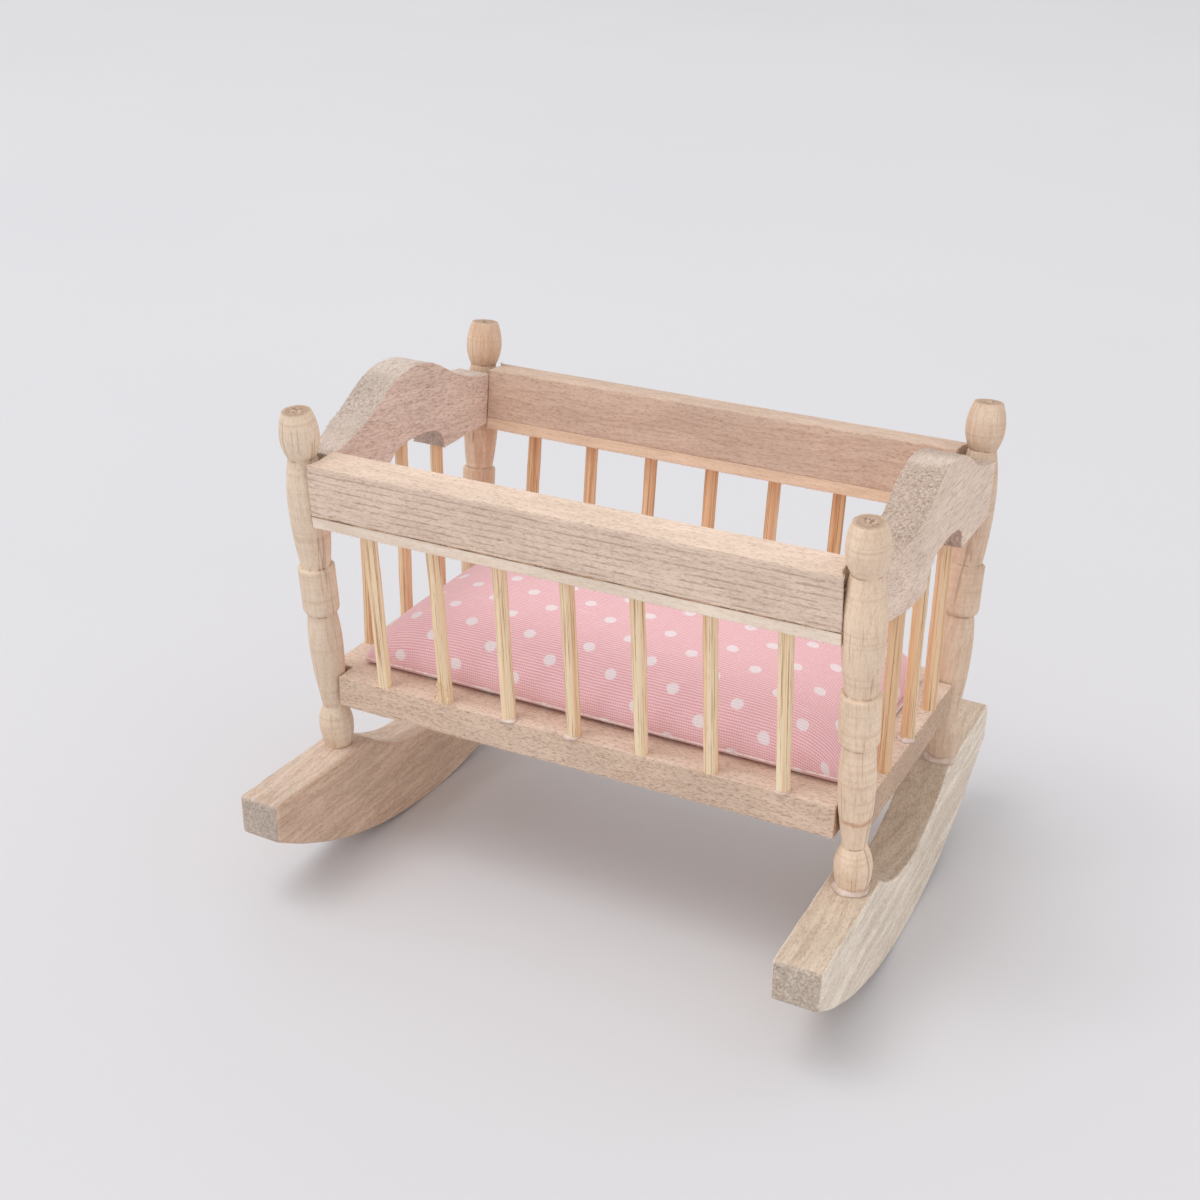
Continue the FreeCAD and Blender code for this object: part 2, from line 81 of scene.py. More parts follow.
def step(tree, value, low, high, start=0.0, end=1.0):
    """A soft step of a value between low and high."""
    feeds = dict(enumerate((value, low, high, start, end)))
    return place(tree, "ShaderNodeMapRange", feeds, interpolation_type="SMOOTHSTEP").outputs[0]


def mixed(tree, share, under, over):
    return place(tree, "ShaderNodeMix", {0: share, 6: under, 7: over}, data_type="RGBA").outputs[2]


def tinted(tree, under, mask, strength, over):
    """A colour with another laid over it where a mask says, at so much strength."""
    return mixed(tree, work(tree, "MULTIPLY", mask, strength), under, over)


def cloudy(tree, point, stretch, detail=2.0, rough=0.5):
    """Noise on a point, stretched by so many waves to its unit of length each way."""
    moved = vector_work(tree, "MULTIPLY", point, stretch)
    feeds = {"Vector": moved, "Scale": 1.0, "Detail": detail, "Roughness": rough}
    return place(tree, "ShaderNodeTexNoise", feeds).outputs[0]


def parts_of(tree, vector):
    return place(tree, "ShaderNodeSeparateXYZ", {0: vector}).outputs


def new_group(name, inputs, outputs):
    """An empty node group with named sockets, and its input and output nodes."""
    group = bpy.data.node_groups.new(name, "ShaderNodeTree")
    kinds = {"v": "NodeSocketVector", "c": "NodeSocketColor", "f": "NodeSocketFloat"}
    for way, sockets in (("INPUT", inputs), ("OUTPUT", outputs)):
        for word, kind in sockets:
            group.interface.new_socket(word, in_out=way, socket_type=kinds[kind])
    return group, group.nodes.new("NodeGroupInput").outputs, group.nodes.new("NodeGroupOutput")


GRAIN_DRIFT = 5.0  # millimetres that the grain wanders sideways
SAW_RATE = 6.3  # saw lines, in radians to the millimetre
END_PORES = 1.9  # pores to the millimetre in end grain


def make_bare_wood():
    """Grain of bare sawn wood. Point is in millimetres and Facing the normal, both with X along the
    grain. Broad faces look along Y, and what looks along X far enough is end grain."""
    tree, given, out = new_group(
        "bare_wood",
        [("Point", "v"), ("Facing", "v"), ("Pale", "c"), ("Tan", "c"), ("Dark", "c"), ("End", "c"),
         ("Edges", "c"), ("Streaks", "f"), ("Pores", "f"), ("Fuzz", "f"), ("Nap", "v"),
         ("Saw lines", "f"), ("End slope", "f")],
        [("Colour", "c"), ("Height", "f"), ("Roughness", "f")])
    point = given["Point"]
    wander = place(tree, "ShaderNodeTexNoise", {
        "Vector": vector_work(tree, "MULTIPLY", point, (0.035, 0.06, 0.06)), "Scale": 1.0, "Detail": 1.0})
    sway = vector_work(tree, "SUBTRACT", wander.outputs[1], (0.5, 0.5, 0.5))
    bent = vector_work(tree, "ADD", point, vector_work(
        tree, "MULTIPLY", sway, (0.0, GRAIN_DRIFT, GRAIN_DRIFT)))

    streak = step(tree, cloudy(tree, bent, (0.03, 0.75, 0.75), 4.0, 0.62), 0.36, 0.66)
    fibre = cloudy(tree, bent, (0.22, 2.3, 2.3), 3.0, 0.65)
    fleck = step(tree, cloudy(tree, bent, (0.35, 2.6, 2.6), 1.0), 0.64, 0.80)
    patch = cloudy(tree, point, (0.09, 0.16, 0.16), 2.0)
    nap = cloudy(tree, point, given["Nap"], 3.0, 0.75)

    along = tinted(tree, given["Pale"], streak, given["Streaks"], given["Tan"])
    along = tinted(tree, along, step(tree, fibre, 0.45, 0.70), 0.6, given["Tan"])
    along = tinted(tree, along, step(tree, fibre, 0.48, 0.25), 0.5, given["Pale"])
    along = tinted(tree, along, fleck, work(tree, "MULTIPLY", given["Pores"], 0.5), given["Dark"])
    along = tinted(tree, along, step(tree, nap, 0.46, 0.76), given["Fuzz"], given["Dark"])
    along = tinted(tree, along, step(tree, nap, 0.54, 0.26), given["Fuzz"], given["Pale"])

    facing = parts_of(tree, given["Facing"])
    height_across = parts_of(tree, point)[2]
    saw_wave = work(tree, "SINE", work(tree, "ADD", work(tree, "MULTIPLY", height_across, SAW_RATE),
                                       work(tree, "MULTIPLY", patch, 2.6)))
    broken = step(tree, cloudy(tree, point, (0.35, 1.6, 1.6), 3.0, 0.75), 0.38, 0.60)
    outside = step(tree, facing[1], 0.5, 0.9)
    saw = work(tree, "MULTIPLY", step(tree, saw_wave, 0.6, 0.98), broken)
    saw = work(tree, "MULTIPLY", work(tree, "MULTIPLY", saw, given["Saw lines"]), outside)
    along = tinted(tree, along, saw, 0.7, given["Dark"])
    # Faces that are not broad take the Edges tint. On the right rocker it is part of painted light: it
    # darkens the top and scoop against a side painted lighter.
    edge_share = step(tree, work(tree, "ABSOLUTE", facing[1]), 0.75, 0.35)
    along = place(tree, "ShaderNodeMix", {0: edge_share, 6: along, 7: given["Edges"]},
                  data_type="RGBA", blend_type="MULTIPLY").outputs[2]

    cells = place(tree, "ShaderNodeTexVoronoi", {"Vector": point, "Scale": END_PORES, "Randomness": 1.0})
    dots = work(tree, "MULTIPLY", step(tree, cells.outputs[0], 0.36, 0.20),
                step(tree, cloudy(tree, point, (0.6, 0.6, 0.6), 2.0), 0.42, 0.60))
    grit = cloudy(tree, point, (2.6, 2.6, 2.6), 2.0, 0.8)
    ends = tinted(tree, given["End"], step(tree, grit, 0.56, 0.14), 0.7, given["Pale"])
    ends = tinted(tree, ends, step(tree, grit, 0.44, 0.86), 0.9, given["Dark"])
    ends = tinted(tree, ends, dots, work(tree, "ADD", given["Pores"], 0.2), given["Dark"])
    steep = work(tree, "SUBTRACT", work(tree, "ABSOLUTE", facing[0]), given["End slope"])
    end_share = work(tree, "MULTIPLY", step(tree, steep, 0.0, 0.3), edge_share)
    colour = mixed(tree, end_share, along, ends)
    shade = place(tree, "ShaderNodeHueSaturation", {
        "Value": step(tree, patch, 0.25, 0.75, 0.94, 1.05), "Color": colour})
    tree.links.new(shade.outputs[0], out.inputs["Colour"])

    side_height = work(tree, "SUBTRACT", work(tree, "MULTIPLY", fibre, 0.9),
                       work(tree, "MULTIPLY", fleck, work(tree, "MULTIPLY", given["Pores"], 0.4)))
    side_height = work(tree, "ADD", side_height,
                       work(tree, "MULTIPLY", nap, work(tree, "MULTIPLY", given["Fuzz"], 0.5)))
    side_height = work(tree, "SUBTRACT", side_height, saw)
    end_height = work(tree, "SUBTRACT", work(tree, "MULTIPLY", grit, 1.4),
                      work(tree, "MULTIPLY", dots, 1.2))
    height = place(tree, "ShaderNodeMix", {0: end_share, 2: side_height, 3: end_height}).outputs[0]
    tree.links.new(height, out.inputs["Height"])
    tree.links.new(step(tree, fibre, 0.2, 0.8, 0.62, 0.84), out.inputs["Roughness"])
    return tree


bare_wood = make_bare_wood()


def start_finish(name):
    """A new material with its node tree and its shader."""
    finish = bpy.data.materials.new(name)
    finish.use_nodes = True
    return finish, finish.node_tree, finish.node_tree.nodes["Principled BSDF"]


def grain_frame(tree, turn, flip=(1, 1, 1), centre=(0, 0, 0)):
    """The piece's own point in millimetres and its normal, turned so that X runs along the grain."""
    where = place(tree, "ShaderNodeTexCoord")
    turn = Euler([math.radians(angle) for angle in turn])
    shift = turn.to_matrix() @ Vector([-side * at / MM for side, at in zip(flip, centre)])
    point = place(tree, "ShaderNodeMapping", {"Vector": where.outputs["Object"], "Rotation": turn,
                                              "Location": shift, "Scale": [side / MM for side in flip]})
    facing = place(tree, "ShaderNodeMapping", {"Vector": where.outputs["Normal"], "Rotation": turn,
                                               "Scale": flip}, vector_type="VECTOR")
    return point.outputs[0], facing.outputs[0]


def wood_nodes(tree, point, facing, pale, tan, dark, end, streaks, pores, fuzz, saw_lines=0.0,
               edges=(1.0, 1.0, 1.0, 1.0), nap=(1.3, 4.8, 4.8), end_slope=0.2):
    """The grain of one piece. Edges is a tint of what its broad faces are not, nap how fine its fuzz
    is along and across the grain, and end_slope how steep a face must be to show end grain."""
    feeds = {"Point": point, "Facing": facing, "Pale": pale, "Tan": tan, "Dark": dark, "End": end,
             "Edges": edges, "Streaks": streaks, "Pores": pores, "Fuzz": fuzz, "Nap": nap,
             "Saw lines": saw_lines, "End slope": end_slope}
    return place(tree, "ShaderNodeGroup", feeds, node_tree=bare_wood).outputs


def lay_on(tree, shader, colour, roughness, height, depth=0.06):
    """Feed a shader its colour and roughness, and its relief of so many millimetres."""
    tree.links.new(colour, shader.inputs["Base Color"])
    tree.links.new(roughness, shader.inputs["Roughness"])
    relief = place(tree, "ShaderNodeBump", {"Height": height, "Strength": 0.7, "Distance": depth * MM})
    tree.links.new(relief.outputs[0], shader.inputs["Normal"])


def board_wood(name, turn, flip=(1, 1, 1), depth=0.06, **looks):
    """Bare wood for a sawn board, with its grain turned to lie along X."""
    finish, tree, shader = start_finish(name)
    point, facing = grain_frame(tree, turn, flip)
    grain = wood_nodes(tree, point, facing, **looks)
    lay_on(tree, shader, grain["Colour"], grain["Roughness"], grain["Height"], depth)
    shader.inputs["Specular IOR Level"].default_value = 0.3
    return finish


SHARP, FLAT = math.radians(25), math.radians(0.4)
SAME_POINT, OUTER_SKIN = 0.001 * MM, 0.05 * MM
# Sharp arrises are parted into short steps, which waver in a long wave and a short one.
WAVER_STEP, LONG_WAVE, SHORT_WAVE = 2.5 * MM, 3.0 * MM, 1.1 * MM
STILL_FOOT = 4.0 * MM  # below this height a board wavers less and less, so that the rockers stand true
WAVER_SEED = 4  # without a seed the wavering would be drawn afresh in each run
noise.seed_set(WAVER_SEED)
arris_lines = []


def new_piece(name, mesh, finish=None):
    piece = bpy.data.objects.new(name, mesh)
    bpy.context.scene.collection.objects.link(piece)
    if finish:
        mesh.materials.append(finish)
    return piece


def smooth(mesh):
    mesh.polygons.foreach_set("use_smooth", [True] * len(mesh.polygons))


def part_edge(edge, longest):
    """Halve an edge until its pieces are short enough to waver."""
    if edge.calc_length() > longest:
        other = bmesh.utils.edge_split(edge, edge.verts[0], 0.5)[0]
        part_edge(edge, longest)
        part_edge(other, longest)


def sawn_board(name, finish, ease, waver, furry=True, pared=None):
    """A CAD board as it comes from the saw: its arrises rubbed off by ease and wavering a little.
    Pared is how far its outer face is planed down towards its front end, and how deep at that end."""
    shape = bmesh.new()
    shape.from_mesh(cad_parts[name].data)
    bmesh.ops.remove_doubles(shape, verts=shape.verts, dist=SAME_POINT)
    bmesh.ops.dissolve_limit(shape, angle_limit=FLAT, verts=shape.verts, edges=shape.edges)
    if pared:
        long, deep = pared
        outer = max(abs(vertex.co.x) for vertex in shape.verts) - OUTER_SKIN
        begins = min(vertex.co.y for vertex in shape.verts) + long
        bmesh.ops.bisect_plane(shape, geom=[*shape.verts, *shape.edges, *shape.faces],
                               plane_co=(0, begins, 0), plane_no=(0, 1, 0))
        for vertex in shape.verts:
            if abs(vertex.co.x) > outer and vertex.co.y < begins:
                vertex.co.x -= math.copysign(deep * (begins - vertex.co.y) / long, vertex.co.x)
    for edge in [edge for edge in shape.edges if edge.calc_face_angle(0) > SHARP]:
        if furry:
            arris_lines.append([vertex.co.copy() for vertex in edge.verts])
        part_edge(edge, WAVER_STEP)
    bmesh.ops.bevel(shape, geom=[edge for edge in shape.edges if edge.calc_face_angle(0) > SHARP],
                    offset=ease, offset_type="OFFSET", segments=3, profile=0.5, affect="EDGES")
    for vertex in shape.verts:
        drift = noise.noise_vector(vertex.co / LONG_WAVE)
        drift += 0.6 * noise.noise_vector(vertex.co / SHORT_WAVE)
        vertex.co += drift * waver * min(1.0, vertex.co.z / STILL_FOOT)
    mesh = bpy.data.meshes.new(name + "_sawn")
    shape.to_mesh(mesh)
    shape.free()
    smooth(mesh)
    board = new_piece(name + "_sawn", mesh, finish)
    board.modifiers.new("flat_faces", "WEIGHTED_NORMAL").weight = 90
    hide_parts(name)
    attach(board, "frame")
    return board


sawn_board("rocker_left", board_wood(
    "rocker_wood_left", (0, 4, -90), pale=tone(236, 208, 186), tan=tone(202, 166, 141),
    dark=tone(146, 112, 90), end=tone(188, 175, 164), edges=(0.91, 0.97, 1.03, 1.0), streaks=0.6,
    pores=0.1, fuzz=0.5, end_slope=0.6),
    ease=0.5 * MM, waver=0.10 * MM, furry=False)
# Painted light: the right rocker's outer side is painted lighter and greyer than its top and scoop,
# standing in for light from the right, and its edges tint darkens the top and scoop against it.
sawn_board("rocker_right", board_wood(
    "rocker_wood_right", (0, -3, -90), pale=tone(253, 241, 226), tan=tone(222, 205, 186),
    dark=tone(158, 134, 112), end=tone(190, 175, 160), edges=(0.76, 0.70, 0.65, 1.0), streaks=0.9,
    pores=0.5, fuzz=0.55, end_slope=0.6),
    ease=0.5 * MM, waver=0.10 * MM, furry=False)


# BASE BOARD. A sawn board whose notched corners are glued round the four posts. Its grain runs
# lengthwise, its top is pinkish and its sawn edges are furry and speckled.
sawn_board("base_board", board_wood(
    "base_wood", (0, 0, 0), depth=0.08, pale=tone(227, 201, 180), tan=tone(199, 169, 146),
    dark=tone(150, 117, 97), end=tone(207, 176, 151), edges=(1.12, 1.18, 1.25, 1.0), streaks=0.4,
    pores=0.3, fuzz=0.9),
    ease=0.2 * MM, waver=0.07 * MM)


# TURNED POSTS. Four birch posts turned on a lathe and leaned outwards, with ring marks of the tool,
# tops rough with wear and a few drying splits along the grain. One has a brown ring low down.
# Painted shade darkens the steps of the turning, each foot where it meets the rocker and a ring inside
# each top. They are glued on the rockers.
LEAN = 6.0  # degrees
# The dark lines at these heights are painted shade where the collars step from the shaft, over a slight
# groove in the bump.
TURNED_LINES = (7.2, 23.0, 30.9, 47.8)  # millimetres up from the foot
FOOT_HALF = 2.2 * MM
BILLET_STEP = Vector((37.0, 11.0, 7.0))  # millimetres from one post's place in the tree to the next


def length_of(tree, vector):
    return place(tree, "ShaderNodeVectorMath", {0: vector}, operation="LENGTH").outputs["Value"]


def make_post_marks_and_shade():
    """Marks of the lathe, fine splits and the top's wear, with painted shade: dark lines at the steps of
    the turning, a dark band round the foot where it meets the rocker, and a dark ring inside the top. From
    foot is in millimetres on the post's own axis, X up; Cut is the same shifted to the post's own place in
    the tree, and Facing the normal."""
    tree, given, out = new_group("lathe_marks", [("From foot", "v"), ("Cut", "v"), ("Facing", "v")],
                                 [("Rings", "f"), ("Lines", "f"), ("Splits", "f"), ("Painted foot shade", "f"),
                                  ("Worn and shaded top", "f"), ("Torn centre", "f")])
    cut, rise = given["Cut"], parts_of(tree, given["From foot"])[0]
    tree.links.new(cloudy(tree, cut, (1.7, 0.05, 0.05), 3.0, 0.65), out.inputs["Rings"])
    patch = cloudy(tree, cut, (0.4, 0.9, 0.9), 2.0)
    lines = 0.0
    # Painted shade: dark lines at the steps of the turning, patchy on their way round.
    for level in TURNED_LINES:
        beside = work(tree, "ABSOLUTE", work(tree, "SUBTRACT", rise, level))
        lines = work(tree, "MAXIMUM", lines, step(tree, beside, 0.20, 0.05))
    tree.links.new(work(tree, "MULTIPLY", lines, step(tree, patch, 0.42, 0.60)), out.inputs["Lines"])
    across = vector_work(tree, "MULTIPLY", given["From foot"], (0.0, 1.0, 1.0))
    outward = vector_work(tree, "NORMALIZE", across)
    here = vector_work(tree, "ADD", vector_work(tree, "MULTIPLY", outward, (0.0, 2.6, 2.6)),
                       vector_work(tree, "MULTIPLY", cut, (0.02, 0.0, 0.0)))
    layers = place(tree, "ShaderNodeTexNoise", {"Vector": here, "Scale": 1.0, "Detail": 0.0}).outputs[0]
    thin = step(tree, work(tree, "ABSOLUTE", work(tree, "SUBTRACT", layers, 0.5)), 0.03, 0.008)
    few = step(tree, cloudy(tree, cut, (0.12, 0.35, 0.35), 1.0), 0.53, 0.62)
    tree.links.new(work(tree, "MULTIPLY", thin, few), out.inputs["Splits"])
    # Painted shade: a dark band round the lowest half millimetre or so of the foot, where it meets the
    # rocker.
    foot_shade = work(tree, "ADD", rise, work(tree, "MULTIPLY", patch, 0.5))
    tree.links.new(step(tree, foot_shade, 0.6, 0.25), out.inputs["Painted foot shade"])
    off_axis = length_of(tree, across)
    upwards = step(tree, parts_of(tree, given["Facing"])[0], 0.5, 0.8)
    rough = cloudy(tree, cut, (2.2, 2.2, 2.2), 2.0)
    ragged = work(tree, "ADD", off_axis, work(tree, "MULTIPLY", rough, 0.8))
    # Wear and painted shade: a dark ring just inside the rim of the top, lighter in the middle, stands for
    # the shade inside the dimple.
    worn_and_shaded = work(tree, "MULTIPLY", step(tree, ragged, 2.3, 1.9), step(tree, ragged, 1.1, 1.9, 0.35, 1.0))
    tree.links.new(work(tree, "MULTIPLY", worn_and_shaded, upwards), out.inputs["Worn and shaded top"])
    specks = work(tree, "MULTIPLY", step(tree, rough, 0.50, 0.62), step(tree, off_axis, 1.5, 0.8))
    tree.links.new(work(tree, "MULTIPLY", specks, upwards), out.inputs["Torn centre"])
    return tree


lathe_marks = make_post_marks_and_shade()


def dress(finish, *names):
    """Give CAD nodes their finish."""
    for name in names:
        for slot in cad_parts[name].material_slots:
            slot.material = finish


def turned_birch(corner, lean, billet, pale, tan, streaks, stained_at=None):
    """Birch on one post, centred on its foot; billet says where in the tree it was cut, and
    stained_at how many millimetres up a brown ring runs round it."""
    finish, tree, shader = start_finish("turned_birch_" + corner)
    low, high = (Vector(end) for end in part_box("post_" + corner))
    outwards = -1 if lean < 0 else 1
    nearest = min(low.y, high.y, key=abs)
    foot = Vector(((low.x + high.x) / 2, nearest + outwards * FOOT_HALF, low.z))
    point, facing = grain_frame(tree, (lean, 90, 0), centre=foot)
    cut = vector_work(tree, "ADD", point, BILLET_STEP * billet)
    grain = wood_nodes(tree, cut, facing, pale, tan, dark=tone(176, 138, 110), end=tone(196, 172, 150),
                       streaks=streaks, pores=0.2, fuzz=0.35, end_slope=0.7)
    marks = place(tree, "ShaderNodeGroup", {"From foot": point, "Cut": cut, "Facing": facing},
                  node_tree=lathe_marks).outputs
    rings = step(tree, marks["Rings"], 0.46, 0.74)
    colour = tinted(tree, grain["Colour"], rings, 0.45, tone(208, 174, 146))
    # painted shade at the steps of the turning
    colour = tinted(tree, colour, marks["Lines"], 0.5, tone(156, 118, 90))
    colour = tinted(tree, colour, marks["Splits"], 0.4, tone(150, 110, 80))
    # painted shade round the foot, where it meets the rocker
    colour = tinted(tree, colour, marks["Painted foot shade"], 0.5, tone(120, 92, 72))
    # wear and painted shade on the top
    colour = tinted(tree, colour, marks["Worn and shaded top"], 0.75, tone(176, 146, 124))
    colour = tinted(tree, colour, marks["Torn centre"], 0.7, tone(104, 80, 66))
    if stained_at:
        beside = work(tree, "ABSOLUTE", work(tree, "SUBTRACT", parts_of(tree, point)[0], stained_at))
        patchy = step(tree, cloudy(tree, cut, (0.8, 0.5, 0.5), 2.0), 0.35, 0.65, 0.15, 0.7)
        colour = tinted(tree, colour, step(tree, beside, 0.7, 0.1), patchy, tone(200, 146, 104))
    height = work(tree, "SUBTRACT", work(tree, "ADD", grain["Height"], marks["Rings"]),
                  work(tree, "MULTIPLY", work(tree, "ADD", marks["Splits"], marks["Lines"]), 1.2))
    lay_on(tree, shader, colour, grain["Roughness"], height, 0.05)
    shader.inputs["Specular IOR Level"].default_value = 0.35
    dress(finish, "post_" + corner)


turned_birch("front_left", -LEAN, 1, tone(237, 217, 195), tone(221, 193, 168), 0.4)
turned_birch("front_right", -LEAN, 2, tone(246, 222, 197), tone(228, 196, 168), 0.4, stained_at=11.7)
turned_birch("back_left", LEAN, 3, tone(238, 212, 187), tone(214, 172, 140), 0.7)
turned_birch("back_right", LEAN, 4, tone(237, 213, 190), tone(217, 183, 155), 0.5)


# SPINDLES. Twenty rods split from bamboo, about 2 mm thick and never quite round, with brown fibre
# lines along them. Each stands on the base board and is glued there and under a strip or end board.
ROD_DIAMETER = 2.0 * MM
ROD_SUNK = 0.1 * MM
ROD_SIDES = 16
ROD_SHIFT = (0.0137, 0.0091, 0.0323)  # metres from one rod's place in the cane to the next
ROWS = {
    # row: how many rods, lean outwards along Y, tone from pale yellow (0) to orange (1)
    "front": (7, -LEAN, (0.10, 0.30, 0.12, 0.28, 0.22, 0.16, 0.05)),
    # The back row's orange tones are painted shade: its rods are seen on their shaded side.
    "back": (7, LEAN, (0.75, 0.60, 0.55, 0.85, 0.50, 0.80, 0.65)),
    "left": (3, 0.0, (0.45, 0.60, 0.35)),
    "right": (3, 0.0, (0.55, 0.25, 0.50)),
}


def new_tree(name, inputs):
    """An empty Geometry Nodes tree with a geometry each way and named inputs."""
    tree = bpy.data.node_groups.new(name, "GeometryNodeTree")
    tree.interface.new_socket("Geometry", in_out="INPUT", socket_type="NodeSocketGeometry")
    for word, kind in inputs:
        tree.interface.new_socket(word, in_out="INPUT", socket_type="NodeSocket" + kind)
    tree.interface.new_socket("Geometry", in_out="OUTPUT", socket_type="NodeSocketGeometry")
    return tree, tree.nodes.new("NodeGroupInput").outputs, tree.nodes.new("NodeGroupOutput")


def grown(name, mesh, tree, **values):
    """A piece that a tree grows from a mesh of lines, turned into a plain mesh."""
    piece = new_piece(name, mesh)
    modifier = piece.modifiers.new("grown", "NODES")
    modifier.node_group = tree
    for item in tree.interface.items_tree:
        if item.in_out == "INPUT" and item.name.replace(" ", "_").lower() in values:
            modifier[item.identifier] = values[item.name.replace(" ", "_").lower()]
    graph = bpy.context.evaluated_depsgraph_get()
    plain = bpy.data.meshes.new_from_object(piece.evaluated_get(graph), preserve_all_data_layers=True,
                                            depsgraph=graph)
    piece.modifiers.remove(modifier)
    piece.data = plain
    bpy.data.meshes.remove(mesh)
    plain.name = name
    return piece


def times(tree, vector, amount):
    scaled = place(tree, "ShaderNodeVectorMath", {0: vector, "Scale": amount}, operation="SCALE")
    return scaled.outputs[0]


def make_split_rods():
    """Rods along the lines of a mesh, slightly out of round, each point keeping its place on its rod."""
    tree, given, out = new_tree("split_rods", [
        ("Diameter", "Float"), ("Unevenness", "Float"), ("Steps", "Int"), ("Finish", "Material")])
    line = place(tree, "GeometryNodeMeshToCurve", {0: given["Geometry"]}).outputs[0]
    line = place(tree, "GeometryNodeResampleCurve", {"Curve": line, "Count": given["Steps"]}).outputs[0]
    along = tree.nodes.new("GeometryNodeCaptureAttribute")
    along.capture_items.new("FLOAT", "Along")
    tree.links.new(line, along.inputs[0])
    tree.links.new(place(tree, "GeometryNodeSplineParameter").outputs["Length"], along.inputs[1])
    ring = place(tree, "GeometryNodeCurvePrimitiveCircle", {
        "Resolution": ROD_SIDES, "Radius": work(tree, "MULTIPLY", given["Diameter"], 0.5)})
    around = tree.nodes.new("GeometryNodeCaptureAttribute")
    around.capture_items.new("VECTOR", "Around")
    tree.links.new(ring.outputs[0], around.inputs[0])
    tree.links.new(place(tree, "GeometryNodeInputPosition").outputs[0], around.inputs[1])
    rod = place(tree, "GeometryNodeCurveToMesh", {"Curve": along.outputs[0],
                                                  "Profile Curve": around.outputs[0],
                                                  "Fill Caps": True}).outputs[0]
    number = place(tree, "GeometryNodeInputNamedAttribute", {"Name": "rod"}, data_type="FLOAT").outputs[0]
    length = place(tree, "ShaderNodeCombineXYZ", {2: along.outputs[1]}).outputs[0]
    place_on_rod = vector_work(tree, "ADD", vector_work(tree, "ADD", around.outputs[1], length),
                               times(tree, ROD_SHIFT, number))
    stored = place(tree, "GeometryNodeStoreNamedAttribute", {
        "Geometry": rod, "Name": "rod_point", "Value": times(tree, place_on_rod, 1 / MM)},
        data_type="FLOAT_VECTOR", domain="POINT")
    bumps = cloudy(tree, place_on_rod, (720.0, 720.0, 85.0), 2.0, 0.55)
    swell = work(tree, "MULTIPLY", work(tree, "SUBTRACT", bumps, 0.5), given["Unevenness"])
    push = times(tree, place(tree, "GeometryNodeInputNormal").outputs[0], swell)
    moved = place(tree, "GeometryNodeSetPosition", {"Geometry": stored.outputs[0], "Offset": push})
    real = place(tree, "GeometryNodeRealizeInstances", {0: moved.outputs[0]}).outputs[0]
    done = place(tree, "GeometryNodeSetMaterial", {"Geometry": real, "Material": given["Finish"]})
    tree.links.new(done.outputs[0], out.inputs[0])
    return tree


def split_bamboo():
    """Bamboo on each point's place on its rod. The rod's tone runs from pale yellow to orange."""
    finish, tree, shader = start_finish("split_bamboo")
    point = place(tree, "ShaderNodeAttribute", attribute_name="rod_point").outputs["Vector"]
    warmth = place(tree, "ShaderNodeAttribute", attribute_name="rod_tone").outputs["Fac"]
    band = cloudy(tree, point, (1.5, 1.5, 0.012), 2.0, 0.5)
    fibre = cloudy(tree, point, (6.5, 6.5, 0.05), 3.0, 0.65)
    fleck = step(tree, cloudy(tree, point, (7.0, 7.0, 0.45), 2.0, 0.6), 0.62, 0.76)
    # The orange end also carries painted shade, for the back row's rods seen on their shaded side; the
    # spread within a row is the rods' own tone.
    pale = mixed(tree, warmth, tone(255, 237, 203), tone(235, 188, 141))
    deep = mixed(tree, warmth, tone(252, 212, 167), tone(206, 150, 102))
    colour = mixed(tree, step(tree, band, 0.44, 0.68), pale, deep)
    colour = tinted(tree, colour, step(tree, fibre, 0.555, 0.61), 0.8, tone(174, 122, 77))
    colour = tinted(tree, colour, step(tree, fibre, 0.42, 0.28), 0.5, tone(255, 236, 204))
    colour = tinted(tree, colour, fleck, 0.35, tone(156, 110, 70))
    height = work(tree, "SUBTRACT", fibre, work(tree, "MULTIPLY", fleck, 0.4))
    lay_on(tree, shader, colour, step(tree, fibre, 0.3, 0.7, 0.5, 0.68), height, 0.07)
    return finish


def rod_lines():
    """One line for each rod, from just inside the base board to just inside what it holds."""
    ends, numbers, warmths = [], [], []
    for row, (count, lean, tones) in ROWS.items():
        slope = Vector((0, math.tan(math.radians(lean)), 1))
        for number in range(1, count + 1):
            low, high = (Vector(corner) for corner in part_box("spindle_%s_%d" % (row, number)))
            middle, half = (low + high) / 2, (high.z - low.z) / 2 + ROD_SUNK
            ends += [middle - slope * half, middle + slope * half]
            numbers += [len(numbers) // 2] * 2
            warmths += [tones[number - 1]] * 2
    mesh = bpy.data.meshes.new("rod_lines")
    mesh.from_pydata(ends, [(first, first + 1) for first in range(0, len(ends), 2)], [])
    for word, values in (("rod", numbers), ("rod_tone", warmths)):
        mesh.attributes.new(word, "FLOAT", "POINT").data.foreach_set("value", values)
    return mesh


bamboo = split_bamboo()
split_rods = make_split_rods()
spindles = grown("spindles", rod_lines(), split_rods, diameter=ROD_DIAMETER, unevenness=0.42 * MM,
                 steps=22, finish=bamboo)
for face in spindles.data.polygons:
    face.use_smooth = len(face.vertices) == 4
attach(spindles, "frame")
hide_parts(*["spindle_%s_%d" % (row, number)
                        for row, (count, lean, tones) in ROWS.items() for number in range(1, count + 1)])


